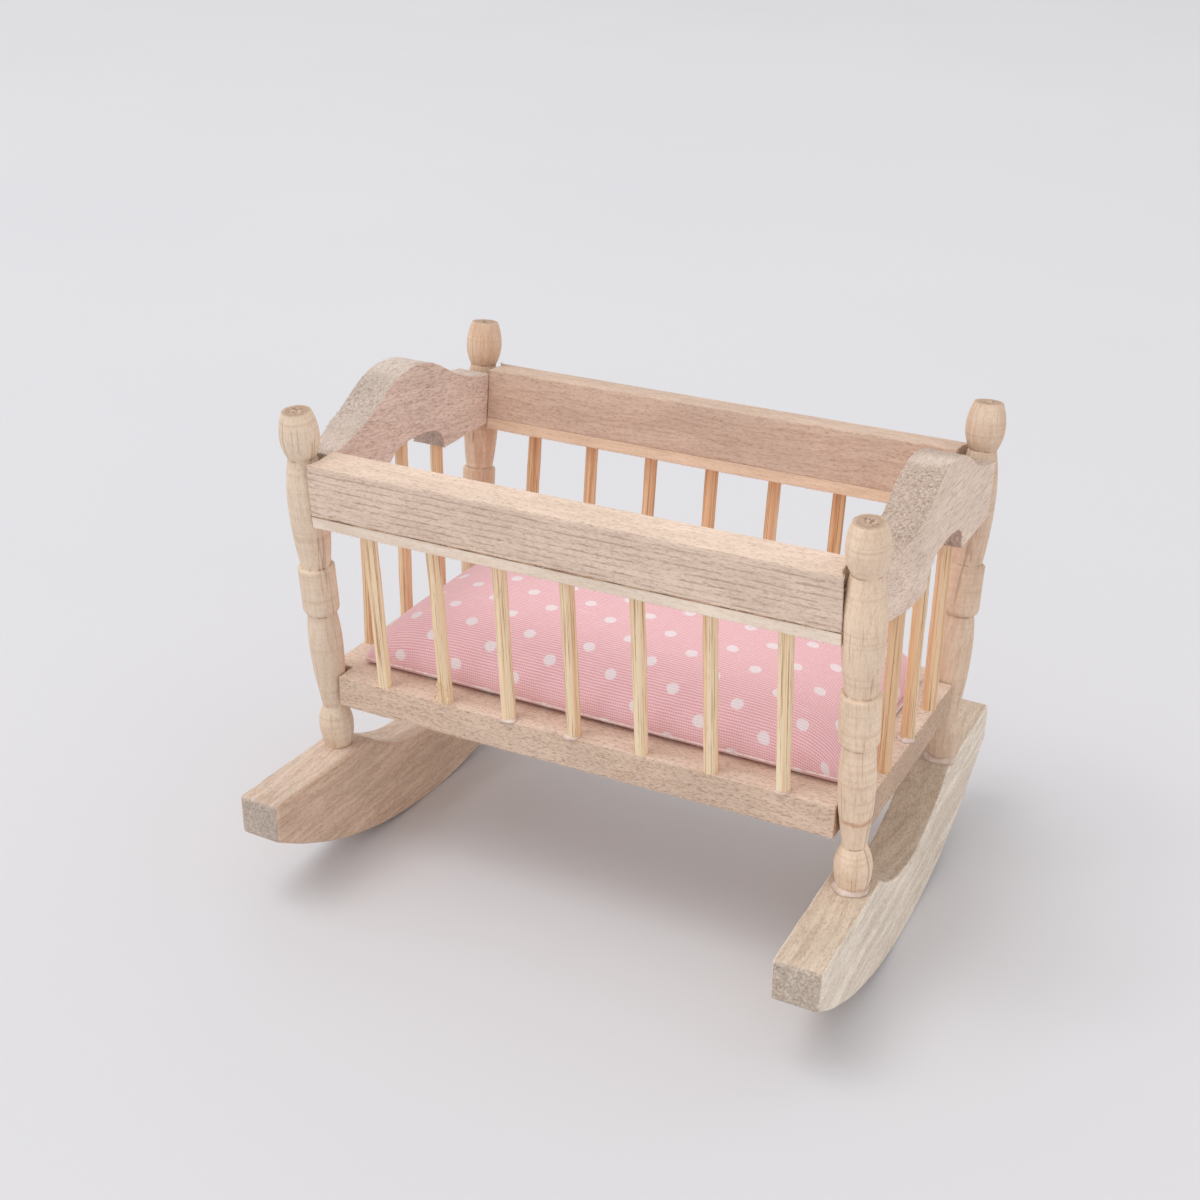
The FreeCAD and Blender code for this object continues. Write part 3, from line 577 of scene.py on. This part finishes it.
def make_loose_fibres():
    """Tapered loose fibres scattered along the lines of a mesh, lying more or less with the line."""
    tree, given, out = new_tree("loose_fibres", [
        ("Spacing", "Float"), ("Length", "Float"), ("Thickness", "Float"), ("Spread", "Float"),
        ("Scatter", "Float"), ("Seed", "Int"), ("Finish", "Material")])

    def chance(low, high, draw):
        feeds = {0: (low,) * 3, 1: (high,) * 3, 8: work(tree, "ADD", given["Seed"], draw)}
        return place(tree, "FunctionNodeRandomValue", feeds, data_type="FLOAT_VECTOR").outputs[0]

    line = place(tree, "GeometryNodeMeshToCurve", {0: given["Geometry"]}).outputs[0]
    roots = place(tree, "GeometryNodeCurveToPoints", {"Curve": line, "Length": given["Spacing"]},
                  mode="LENGTH")
    spread = place(tree, "GeometryNodeSetPosition", {
        "Geometry": roots.outputs["Points"],
        "Offset": times(tree, chance(-1.0, 1.0, 1.0), given["Scatter"])})
    heading = vector_work(tree, "ADD", roots.outputs["Tangent"],
                          times(tree, chance(-1.0, 1.0, 2.0), given["Spread"]))
    turned = place(tree, "FunctionNodeAlignRotationToVector", {"Vector": heading}, axis="Z")
    sliver = place(tree, "GeometryNodeMeshCone", {
        "Vertices": 5, "Side Segments": 2, "Radius Top": 0.0,
        "Radius Bottom": work(tree, "MULTIPLY", given["Thickness"], 0.5), "Depth": given["Length"]})
    strewn = place(tree, "GeometryNodeInstanceOnPoints", {
        "Points": spread.outputs[0], "Instance": sliver.outputs[0], "Rotation": turned.outputs[0],
        "Scale": chance(0.45, 1.15, 3.0)})
    real = place(tree, "GeometryNodeRealizeInstances", {0: strewn.outputs[0]}).outputs[0]
    done = place(tree, "GeometryNodeSetMaterial", {"Geometry": real, "Material": given["Finish"]})
    tree.links.new(done.outputs[0], out.inputs[0])
    return tree


def line_mesh(name, runs):
    """A mesh of bare lines, each through its own points."""
    points, edges = [], []
    for run in runs:
        edges += [(len(points) + number, len(points) + number + 1) for number in range(len(run) - 1)]
        points += [tuple(point) for point in run]
    mesh = bpy.data.meshes.new(name)
    mesh.from_pydata(points, edges, [])
    return mesh


def pale_fibres(name, light, deep):
    """Loose fibre, paler and deeper by turns along its length."""
    finish, tree, shader = start_finish(name)
    where = place(tree, "ShaderNodeTexCoord").outputs["Object"]
    mottle = cloudy(tree, where, (2500.0, 2500.0, 2500.0), 2.0)
    lay_on(tree, shader, mixed(tree, step(tree, mottle, 0.35, 0.65), light, deep),
           step(tree, mottle, 0.3, 0.7, 0.7, 0.85), mottle, 0.02)
    return finish


TORN_SPLITS = (
    # the two ends of each split in the torn foot: along the cradle, backwards and up, in millimetres
    ((-0.65, -0.35, 3.6), (-0.8, -0.7, 1.6)), ((-0.2, -0.55, 3.8), (-0.35, -0.9, 1.5)),
    ((0.35, -0.55, 3.2), (0.3, -0.75, 1.4)), ((0.8, -0.2, 2.6), (0.95, -0.35, 1.3)))
loose_fibres = make_loose_fibres()
torn_low, torn_high = (Vector(corner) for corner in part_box("spindle_front_2"))
torn_at = ((torn_low.x + torn_high.x) / 2, torn_high.y - 0.95 * ROD_DIAMETER, torn_low.z)
torn_runs = [[[start + far * MM for start, far in zip(torn_at, point)] for point in split]
             for split in TORN_SPLITS]
torn_foot = grown("torn_rod_foot", line_mesh("torn_runs", torn_runs), loose_fibres, spacing=1.0 * MM,
                  length=1.8 * MM, thickness=0.36 * MM, spread=0.05, scatter=0.05 * MM, seed=5,
                  finish=pale_fibres("torn_bamboo", tone(250, 230, 196), tone(226, 188, 142)))
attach(torn_foot, "frame")


# SIDE RAILS AND STRIPS. Each rail is a sawn board let in between two posts, furry and lined by the
# saw outside and smoother inside and on top. A thin paler strip is glued under it, over the rods.
OUTSIDE = {"front": -1, "back": 1}
# The back rail's darker tones are painted shade: its inner face, the one in view, lies in shade.
RAIL_TONES = {"front": (tone(240, 216, 197), tone(216, 189, 169)),
              "back": (tone(220, 195, 175), tone(192, 159, 139))}
STRIP_TONES = {"front": (tone(250, 233, 216), tone(233, 209, 186)),
               "back": (tone(240, 214, 187), tone(220, 187, 157))}
for side, (pale, tan) in RAIL_TONES.items():
    sawn_board("side_rail_" + side, board_wood(
        "rail_wood_" + side, (-LEAN, 0, 0), (1, OUTSIDE[side], 1), depth=0.09, pale=pale, tan=tan,
        dark=tone(150, 116, 96), end=tone(206, 186, 168), streaks=0.4, pores=0.3, fuzz=0.6,
        saw_lines=0.65),
        ease=0.15 * MM, waver=0.07 * MM)
for side, (pale, tan) in STRIP_TONES.items():
    sawn_board("rail_strip_" + side, board_wood(
        "strip_wood_" + side, (-LEAN, 0, 0), (1, OUTSIDE[side], 1), pale=pale, tan=tan,
        dark=tone(166, 130, 102), end=tone(200, 180, 160), streaks=0.5, pores=0.2, fuzz=0.3),
        ease=0.1 * MM, waver=0.04 * MM)


def brown_seam():
    """Old glue and dust in the open joint under a rail."""
    finish, tree, shader = start_finish("brown_seam")
    where = place(tree, "ShaderNodeTexCoord").outputs["Object"]
    dusty = cloudy(tree, where, (350.0, 350.0, 900.0), 3.0)
    colour = mixed(tree, step(tree, dusty, 0.35, 0.65), tone(128, 98, 74), tone(190, 158, 130))
    lay_on(tree, shader, colour, step(tree, dusty, 0.3, 0.7, 0.8, 0.9), dusty, 0.03)
    return finish


EDGE_WIDTH = 0.01 * MM
seam_runs = []
for side, outside in OUTSIDE.items():
    corners = [vertex.co.copy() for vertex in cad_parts["rail_strip_" + side].data.vertices]
    farthest = max(outside * corner.y for corner in corners)
    upper_edge = sorted((corner for corner in corners if outside * corner.y > farthest - EDGE_WIDTH),
                        key=lambda corner: corner.x)
    seam_runs.append([upper_edge[0], upper_edge[-1]])
rail_seams = grown("rail_seams", line_mesh("seam_runs", seam_runs), split_rods, diameter=0.2 * MM,
                   unevenness=0.3 * MM, steps=240, finish=brown_seam())
smooth(rail_seams.data)
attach(rail_seams, "frame")


# END BOARDS. Two boards sawn to a hump above and an arch below, fitted between the posts and planed
# a little thinner towards the front ones. The slopes of the hump show grey, speckled end grain.
END_BOARD = dict(depth=0.08, dark=tone(146, 112, 96), edges=(0.84, 0.87, 0.90, 1.0), streaks=0.5,
                 pores=0.3, fuzz=0.8)
END_PARED = (8.0 * MM, 1.7 * MM)
sawn_board("end_board_left", board_wood(
    "end_board_wood_left", (8, 0, -90), pale=tone(240, 219, 204), tan=tone(211, 184, 168),
    end=tone(191, 176, 164), end_slope=0.28, nap=(0.85, 5.2, 5.2), **END_BOARD),
    ease=0.15 * MM, waver=0.08 * MM, pared=END_PARED)
sawn_board("end_board_right", board_wood(
    "end_board_wood_right", (-3, 0, -90), pale=tone(246, 224, 206), tan=tone(228, 202, 184),
    end=tone(190, 171, 156), end_slope=-0.05, nap=(0.4, 5.8, 5.8), **END_BOARD),
    ease=0.15 * MM, waver=0.08 * MM, pared=END_PARED)


# SAWN EDGES. The saw leaves short pale fibres standing along the arrises of the bare boards.
# They are the wood's own, still rooted in it, and were never sanded off.
sawn_fuzz = grown("sawn_fuzz", line_mesh("arris_lines", arris_lines), loose_fibres, spacing=0.8 * MM,
                  length=0.55 * MM, thickness=0.09 * MM, spread=0.5, scatter=0.08 * MM, seed=11,
                  finish=pale_fibres("loose_wood_fibre", tone(238, 216, 196), tone(206, 176, 154)))
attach(sawn_fuzz, "frame")


# GLUE. Milky craft glue that was pressed out of the joints and dried: thin uneven beads round the
# feet of the two right posts and at the feet of some rods, thicker on one side.
ROCKER_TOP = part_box("post_front_right")[0][2]
BOARD_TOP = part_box("base_board")[1][2]
POST_X, POST_Y = 41.0 * MM, 19.7 * MM
POST_RADIUS, ROD_RADIUS = 2.1 * MM, 0.95 * MM
LEAST_GLUE, MOST_GLUE = 0.05, 1.5
BEAD_AROUND = 44
BEAD_OUTLINE = ((-0.12, -0.04), (1.0, -0.04), (0.75, 0.35), (0.35, 0.72), (-0.12, 1.0))


def rod_foot(name):
    """The middle of a rod's foot, whether the rod is upright or leans outwards."""
    low, high = (Vector(corner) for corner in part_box(name))
    if high.y - low.y < 1.25 * ROD_DIAMETER:
        deep = (low.y + high.y) / 2
    else:
        deep = min(low.y, high.y, key=abs) + math.copysign(ROD_DIAMETER / 2, low.y)
    return ((low.x + high.x) / 2, deep, BOARD_TOP)


def glue_bead(centre, radius, reach, rise, side):
    """Points and faces of one uneven ring of glue round a foot, most of it on one side (degrees from X)."""
    points, faces = [], []
    for number in range(BEAD_AROUND):
        turn = 2 * math.pi * number / BEAD_AROUND
        spot = Vector((math.cos(turn), math.sin(turn), 0.0))
        lump = 0.8 * noise.noise(spot * 1.1 + Vector(centre) / MM)
        uneven = 0.55 + 0.6 * math.cos(turn - math.radians(side)) + lump
        uneven = min(MOST_GLUE, max(LEAST_GLUE, uneven))
        for out, up in BEAD_OUTLINE:
            ring = spot * (radius + out * reach * uneven)
            points.append((centre[0] + ring.x, centre[1] + ring.y, centre[2] + up * rise * uneven))
    size = len(BEAD_OUTLINE)
    for number in range(BEAD_AROUND):
        here, there = number * size, (number + 1) % BEAD_AROUND * size
        for one in range(size):
            two = (one + 1) % size
            faces.append((here + one, there + one, there + two, here + two))
    return points, faces


def dried_glue():
    finish, tree, shader = start_finish("dried_glue")
    where = place(tree, "ShaderNodeTexCoord").outputs["Object"]
    milky = cloudy(tree, where, (900.0, 900.0, 900.0), 3.0)
    colour = mixed(tree, step(tree, milky, 0.35, 0.65), tone(230, 212, 202), tone(214, 188, 170))
    lay_on(tree, shader, colour, step(tree, milky, 0.3, 0.7, 0.28, 0.5), milky, 0.03)
    shader.inputs["Subsurface Weight"].default_value = 0.25
    shader.inputs["Subsurface Radius"].default_value = (0.6 * MM, 0.5 * MM, 0.4 * MM)
    shader.inputs["Subsurface Scale"].default_value = 1.0
    return finish


glue_points, glue_faces = [], []
for centre, radius, reach, rise, side in (
        # the foot and its radius, how far and how high the glue goes in millimetres, its thick side
        ((POST_X, -POST_Y, ROCKER_TOP), POST_RADIUS, 0.75, 0.75, 270),
        ((POST_X, POST_Y, ROCKER_TOP), POST_RADIUS, 0.8, 1.1, 265),
        (rod_foot("spindle_front_3"), ROD_RADIUS, 0.5, 0.3, 300),
        (rod_foot("spindle_front_4"), ROD_RADIUS, 0.75, 0.5, 245),
        (rod_foot("spindle_front_7"), ROD_RADIUS, 0.4, 0.3, 270),
        (rod_foot("spindle_right_2"), ROD_RADIUS, 0.6, 0.55, 270)):
    bead, facets = glue_bead(centre, radius, reach * MM, rise * MM, side)
    glue_faces += [tuple(corner + len(glue_points) for corner in facet) for facet in facets]
    glue_points += bead
glue_mesh = bpy.data.meshes.new("dried_glue")
glue_mesh.from_pydata(glue_points, [], glue_faces)
smooth(glue_mesh)
glue = new_piece("dried_glue", glue_mesh, dried_glue())
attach(glue, "frame")


# MATTRESS. A pad of wadding in a cover of dotted cotton, drawn down tight over its edges so that the
# front is one big rounding. It lies loose on the base board. Its cut edge is frayed white below.
PAD_LOW, PAD_HIGH = (np.array(corner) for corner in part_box("mattress_cover"))
PAD_SLACK = np.array((0.1, 0.25, 0.6)) * MM
PAD_STATIONS, PAD_AROUND = 69, 46
SIM_SCALE, SIM_FRAMES = 12.0, 20
MOST_SWELL = 0.9 * MM
SIDE_ROOM = 0.2 * MM
CLOTH = dict(quality=6, mass=0.2, tension_stiffness=12, compression_stiffness=12, bending_stiffness=0.3,
             use_pressure=True, uniform_pressure_force=0.5, vertex_group_mass="held")


def evenly(points, count):
    """Points spread evenly along a bent line, and how far along it each lies."""
    steps = np.concatenate(([0.0], np.cumsum(np.linalg.norm(np.diff(points, axis=0), axis=1))))
    far = np.linspace(0, steps[-1], count)
    return np.column_stack([np.interp(far, steps, column) for column in points.T]), far


def pad_outline(half, height):
    """The cover from its front hem over a nearly flat crown to its back hem, round at both edges."""
    under = np.linspace(0, math.pi / 2, 24)[:-1]
    over = np.linspace(0, math.pi / 2, 120)
    foot, bulge = 0.10 * height, 0.42 * height
    lower = np.column_stack((-(half - foot + foot * np.sin(under)), bulge * (1 - np.cos(under))))
    upper = np.column_stack((-half * np.cos(over) ** 0.5, bulge + (height - bulge) * np.sin(over)))
    front = np.vstack((lower, upper))
    back = front[-2::-1] * (-1, 1)
    return np.vstack((front, back))


def make_pad_mesh():
    """The pad before it is filled: stations along it, each a loop over the top and back underneath.
    They crowd towards its ends, where the crown drops to the hem."""
    long, wide = PAD_HIGH[0] - PAD_SLACK[0], PAD_HIGH[1] - PAD_SLACK[1]
    tall = PAD_HIGH[2] - PAD_LOW[2] - PAD_SLACK[2]
    share = np.linspace(-1, 1, PAD_STATIONS)
    share = np.sign(share) * (1 - (1 - np.abs(share)) ** 1.7)
    heights = tall * np.maximum(0.12, (1 - np.abs(share) ** 8.0) ** 0.5)
    widths = wide * (1 - 0.03 * np.abs(share) ** 16)
    crown = np.column_stack((share * long, heights))
    runs = np.concatenate(([0.0], np.cumsum(np.linalg.norm(np.diff(crown, axis=0), axis=1))))
    runs -= runs[-1] / 2
    points, cloth = [], []
    for x, height, width, run in zip(share * long, heights, widths, runs):
        over, far = evenly(pad_outline(width, height), PAD_AROUND)
        points += [(x, y, PAD_LOW[2] + z) for y, z in over]
        cloth += [(run, v - far[-1] / 2) for v in far]
        under = np.linspace(over[0][0], over[-1][0], PAD_AROUND)[1:-1]
        points += [(x, y, PAD_LOW[2]) for y in under]
        cloth += [(run, -(far[-1] / 2) - (y - under[0])) for y in under]
    loop = 2 * PAD_AROUND - 2
    ring = list(range(PAD_AROUND)) + list(range(loop - 1, PAD_AROUND - 1, -1))
    faces = []
    for station in range(PAD_STATIONS - 1):
        here, there = station * loop, (station + 1) * loop
        for one, two in zip(ring, ring[1:] + ring[:1]):
            faces.append((here + one, there + one, there + two, here + two))
    for station, way in ((0, -1), (PAD_STATIONS - 1, 1)):
        first = station * loop
        top = [first + number for number in range(PAD_AROUND)]
        low = [top[0]] + [first + PAD_AROUND + number for number in range(PAD_AROUND - 2)] + [top[-1]]
        for one in range(PAD_AROUND - 1):
            corners = list(dict.fromkeys((top[one], low[one], low[one + 1], top[one + 1])))
            faces.append(corners[::-1] if way < 0 else corners)
    mesh = bpy.data.meshes.new("mattress")
    mesh.from_pydata([tuple(p) for p in points], [], [tuple(face) for face in faces])
    layer = mesh.uv_layers.new(name="cloth")
    for corner in mesh.loops:
        layer.data[corner.index].uv = [value / MM for value in cloth[corner.vertex_index]]
    mesh.update()
    return mesh, loop


def fill_with_wadding(mesh, loop):
    """Blow the cover up by its filling, at the size of a full-size cot, with its underside held."""
    start = np.array([vertex.co for vertex in mesh.vertices])
    puffed = new_piece("cover_being_filled", mesh.copy())
    puffed.data.vertices.foreach_set("co", (start * SIM_SCALE).ravel())
    held = puffed.vertex_groups.new(name="held")
    under = [number for number in range(len(start))
             if number % loop >= PAD_AROUND or number % loop in (0, PAD_AROUND - 1)]
    held.add(under, 1.0, "REPLACE")
    cloth = puffed.modifiers.new("filling", "CLOTH")
    for word, value in CLOTH.items():
        setattr(cloth.settings, word, value)
    cloth.settings.effector_weights.gravity = 0.0
    cloth.point_cache.frame_start, cloth.point_cache.frame_end = 1, SIM_FRAMES
    for moment in range(1, SIM_FRAMES + 1):
        bpy.context.scene.frame_set(moment)
    graph = bpy.context.evaluated_depsgraph_get()
    shown = puffed.evaluated_get(graph).data
    swollen = np.array([vertex.co for vertex in shown.vertices]) / SIM_SCALE
    bpy.context.scene.frame_set(1)
    bpy.data.objects.remove(puffed)
    move = swollen - start
    far = np.maximum(np.linalg.norm(move, axis=1), 1e-9)
    end = start + move * np.minimum(1.0, MOST_SWELL / far)[:, None]
    room = PAD_HIGH[:2] + SIDE_ROOM
    end[:, :2] = np.clip(end[:, :2], -room, room)
    return end


RIB_RATE, COLUMN_RATE = 14.6, 18.0  # radians to the millimetre
DOT_RADIUS, DOT_SOLID = 1.0, 0.80  # millimetres, with a soft edge between the two
FIRST_DOT = (1.58, -0.78)  # one dot's place on the cloth, in millimetres
HALF_REPEAT = (4.78, 3.71)  # from a dot to the next one in the staggered rows
PRINT_SKEW = (0.053, -0.0128)  # the print lies a little askew


def dotted_cotton():
    """Pink cotton with a close rib and off-white printed dots in staggered rows."""
    finish, tree, shader = start_finish("dotted_cotton")
    cloth = place(tree, "ShaderNodeUVMap", uv_map="cloth").outputs[0]
    place_on = parts_of(tree, cloth)
    shiver = cloudy(tree, cloth, (0.8, 0.8, 0.8), 3.0)

    def threads(across, rate, shake):
        straight, shaken = work(tree, "MULTIPLY", across, rate), work(tree, "MULTIPLY", shiver, shake)
        return work(tree, "SINE", work(tree, "ADD", straight, shaken))

    columns = threads(place_on[0], COLUMN_RATE, 2.4)
    weave = work(tree, "ADD", threads(place_on[1], RIB_RATE, 3.2), work(tree, "MULTIPLY", columns, 0.55))
    slub = cloudy(tree, cloth, (0.35, 4.0, 1.0), 2.0, 0.6)
    colour = mixed(tree, step(tree, weave, -1.2, 0.9), tone(233, 164, 175), tone(254, 216, 222))
    colour = tinted(tree, colour, step(tree, slub, 0.5, 0.75), 0.35, tone(255, 226, 230))

    wobble = place(tree, "ShaderNodeTexNoise", {"Vector": cloth, "Scale": 1.6, "Detail": 2.0}).outputs[1]
    wobble = vector_work(tree, "SUBTRACT", wobble, (0.5, 0.5, 0.5))
    spot_at = vector_work(tree, "ADD", cloth, vector_work(tree, "MULTIPLY", wobble, (0.45, 0.45, 0.0)))
    from_dot = vector_work(tree, "SUBTRACT", spot_at, (*FIRST_DOT, 0.0))
    off = parts_of(tree, from_dot)
    askew = place(tree, "ShaderNodeCombineXYZ", {
        0: work(tree, "ADD", off[0], work(tree, "MULTIPLY", off[1], PRINT_SKEW[0])),
        1: work(tree, "ADD", off[1], work(tree, "MULTIPLY", off[0], PRINT_SKEW[1]))}).outputs[0]
    most = Vector((*HALF_REPEAT, 1.0))
    spots = []
    for shift in ((0.0, 0.0, 0.0), (*HALF_REPEAT, 0.0)):
        cell = vector_work(tree, "WRAP", vector_work(tree, "ADD", askew, shift), most, -most)
        spots.append(length_of(tree, vector_work(tree, "MULTIPLY", cell, (1.0, 1.0, 0.0))))
    spot = step(tree, work(tree, "MINIMUM", *spots), DOT_RADIUS, DOT_SOLID)
    ink = mixed(tree, step(tree, weave, -1.3, 0.6), tone(243, 224, 232), tone(250, 240, 245))
    colour = mixed(tree, spot, colour, ink)
    height = work(tree, "ADD", work(tree, "MULTIPLY", weave, 0.5), work(tree, "MULTIPLY", slub, 0.5))
    lay_on(tree, shader, colour, step(tree, slub, 0.3, 0.7, 0.78, 0.9), height, 0.05)
    shader.inputs["Sheen Weight"].default_value = 0.25
    shader.inputs["Sheen Roughness"].default_value = 0.5
    return finish


pad_mesh, pad_loop = make_pad_mesh()
pad_points = fill_with_wadding(pad_mesh, pad_loop)
pad_mesh.vertices.foreach_set("co", pad_points.ravel())
pad_mesh.update()
mattress = new_piece("mattress_pad", pad_mesh, dotted_cotton())
smooth(pad_mesh)
rounding = mattress.modifiers.new("rounding", "SUBSURF")
rounding.levels = rounding.render_levels = 1
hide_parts("mattress_cover", "mattress_filling")
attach(mattress, "mattress")


# HEM. The cut edge of the cotton cover, turned under and left raw. It shows the white back of the
# cloth as a thin, frayed line along the foot of the pad.
HEM_RAISED = 0.12 * MM
white_cotton = pale_fibres("white_cotton", tone(250, 244, 242), tone(236, 216, 216))
ends_at = (PAD_STATIONS - 1) * pad_loop
hem_order = [station * pad_loop + 1 for station in range(PAD_STATIONS)]
hem_order += [ends_at + number for number in range(PAD_AROUND, pad_loop)]
hem_order += [station * pad_loop + PAD_AROUND - 2 for station in reversed(range(PAD_STATIONS))]
hem_order += list(reversed(range(PAD_AROUND, pad_loop)))
hem_line = [Vector(pad_points[number]) + Vector((0, 0, HEM_RAISED))
            for number in hem_order + hem_order[:1]]
hem = grown("hem", line_mesh("hem_line", [hem_line]), split_rods, diameter=0.24 * MM,
            unevenness=0.22 * MM, steps=700, finish=white_cotton)
smooth(hem.data)
fray = grown("hem_fray", line_mesh("fray_line", [hem_line]), loose_fibres, spacing=0.4 * MM,
             length=0.8 * MM, thickness=0.07 * MM, spread=1.2, scatter=0.1 * MM, seed=23,
             finish=white_cotton)
for piece in (hem, fray):
    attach(piece, "mattress")


# FLOOR, LIGHT AND CAMERA. A plain pale floor under even daylight, with one large soft light from the
# upper left in front, seen from above the front right corner as in the photograph.
def pale_floor():
    finish, tree, shader = start_finish("pale_floor")
    where = place(tree, "ShaderNodeTexCoord").outputs["Object"]
    dull = cloudy(tree, where, (6.0, 6.0, 6.0), 3.0)
    colour = mixed(tree, dull, tone(223, 222, 225), tone(218, 217, 221))
    tree.links.new(colour, shader.inputs["Base Color"])
    shader.inputs["Roughness"].default_value = 0.85
    shader.inputs["Specular IOR Level"].default_value = 0.2
    return finish


FLOOR_HALF = 4.0
LIGHT_PLACE = Vector((-0.9, -1.0, 2.8))
CAMERA_PLACE = Vector((99.10, -211.61, 150.3)) * MM
CAMERA_ROUND, CAMERA_DOWN, CAMERA_ROLL = (math.radians(angle) for angle in (26.626, 24.778, 0.9025))
floor_mesh = bpy.data.meshes.new("floor")
floor_mesh.from_pydata([(-FLOOR_HALF, -FLOOR_HALF, 0), (FLOOR_HALF, -FLOOR_HALF, 0),
                        (FLOOR_HALF, FLOOR_HALF, 0), (-FLOOR_HALF, FLOOR_HALF, 0)], [], [(0, 1, 2, 3)])
floor = new_piece("floor", floor_mesh, pale_floor())

world = bpy.data.worlds.new("daylight")
world.use_nodes = True
bpy.context.scene.world = world
sky = world.node_tree.nodes["Background"]
sky.inputs["Color"].default_value = (1.0, 1.0, 1.0, 1.0)
sky.inputs["Strength"].default_value = 0.80

lamp = bpy.data.lights.new("soft_light", "AREA")
lamp.shape, lamp.size, lamp.energy = "SQUARE", 1.8, 32.0
light = bpy.data.objects.new("soft_light", lamp)
light.location = LIGHT_PLACE
light.rotation_euler = (-LIGHT_PLACE).to_track_quat("-Z", "Y").to_euler()
bpy.context.scene.collection.objects.link(light)

lens = bpy.data.cameras.new("camera")
lens.sensor_width, lens.lens = 36.0, 53.06
lens.clip_start, lens.clip_end = 0.01, 50.0
camera = bpy.data.objects.new("camera", lens)
bpy.context.scene.collection.objects.link(camera)
aim = (Matrix.Rotation(CAMERA_ROUND, 3, "Z") @ Matrix.Rotation(math.pi / 2 - CAMERA_DOWN, 3, "X")
       @ Matrix.Rotation(CAMERA_ROLL, 3, "Z"))
camera.matrix_world = Matrix.Translation(CAMERA_PLACE) @ aim.to_4x4()
bpy.context.scene.camera = camera
bpy.context.scene.view_settings.view_transform = "Standard"
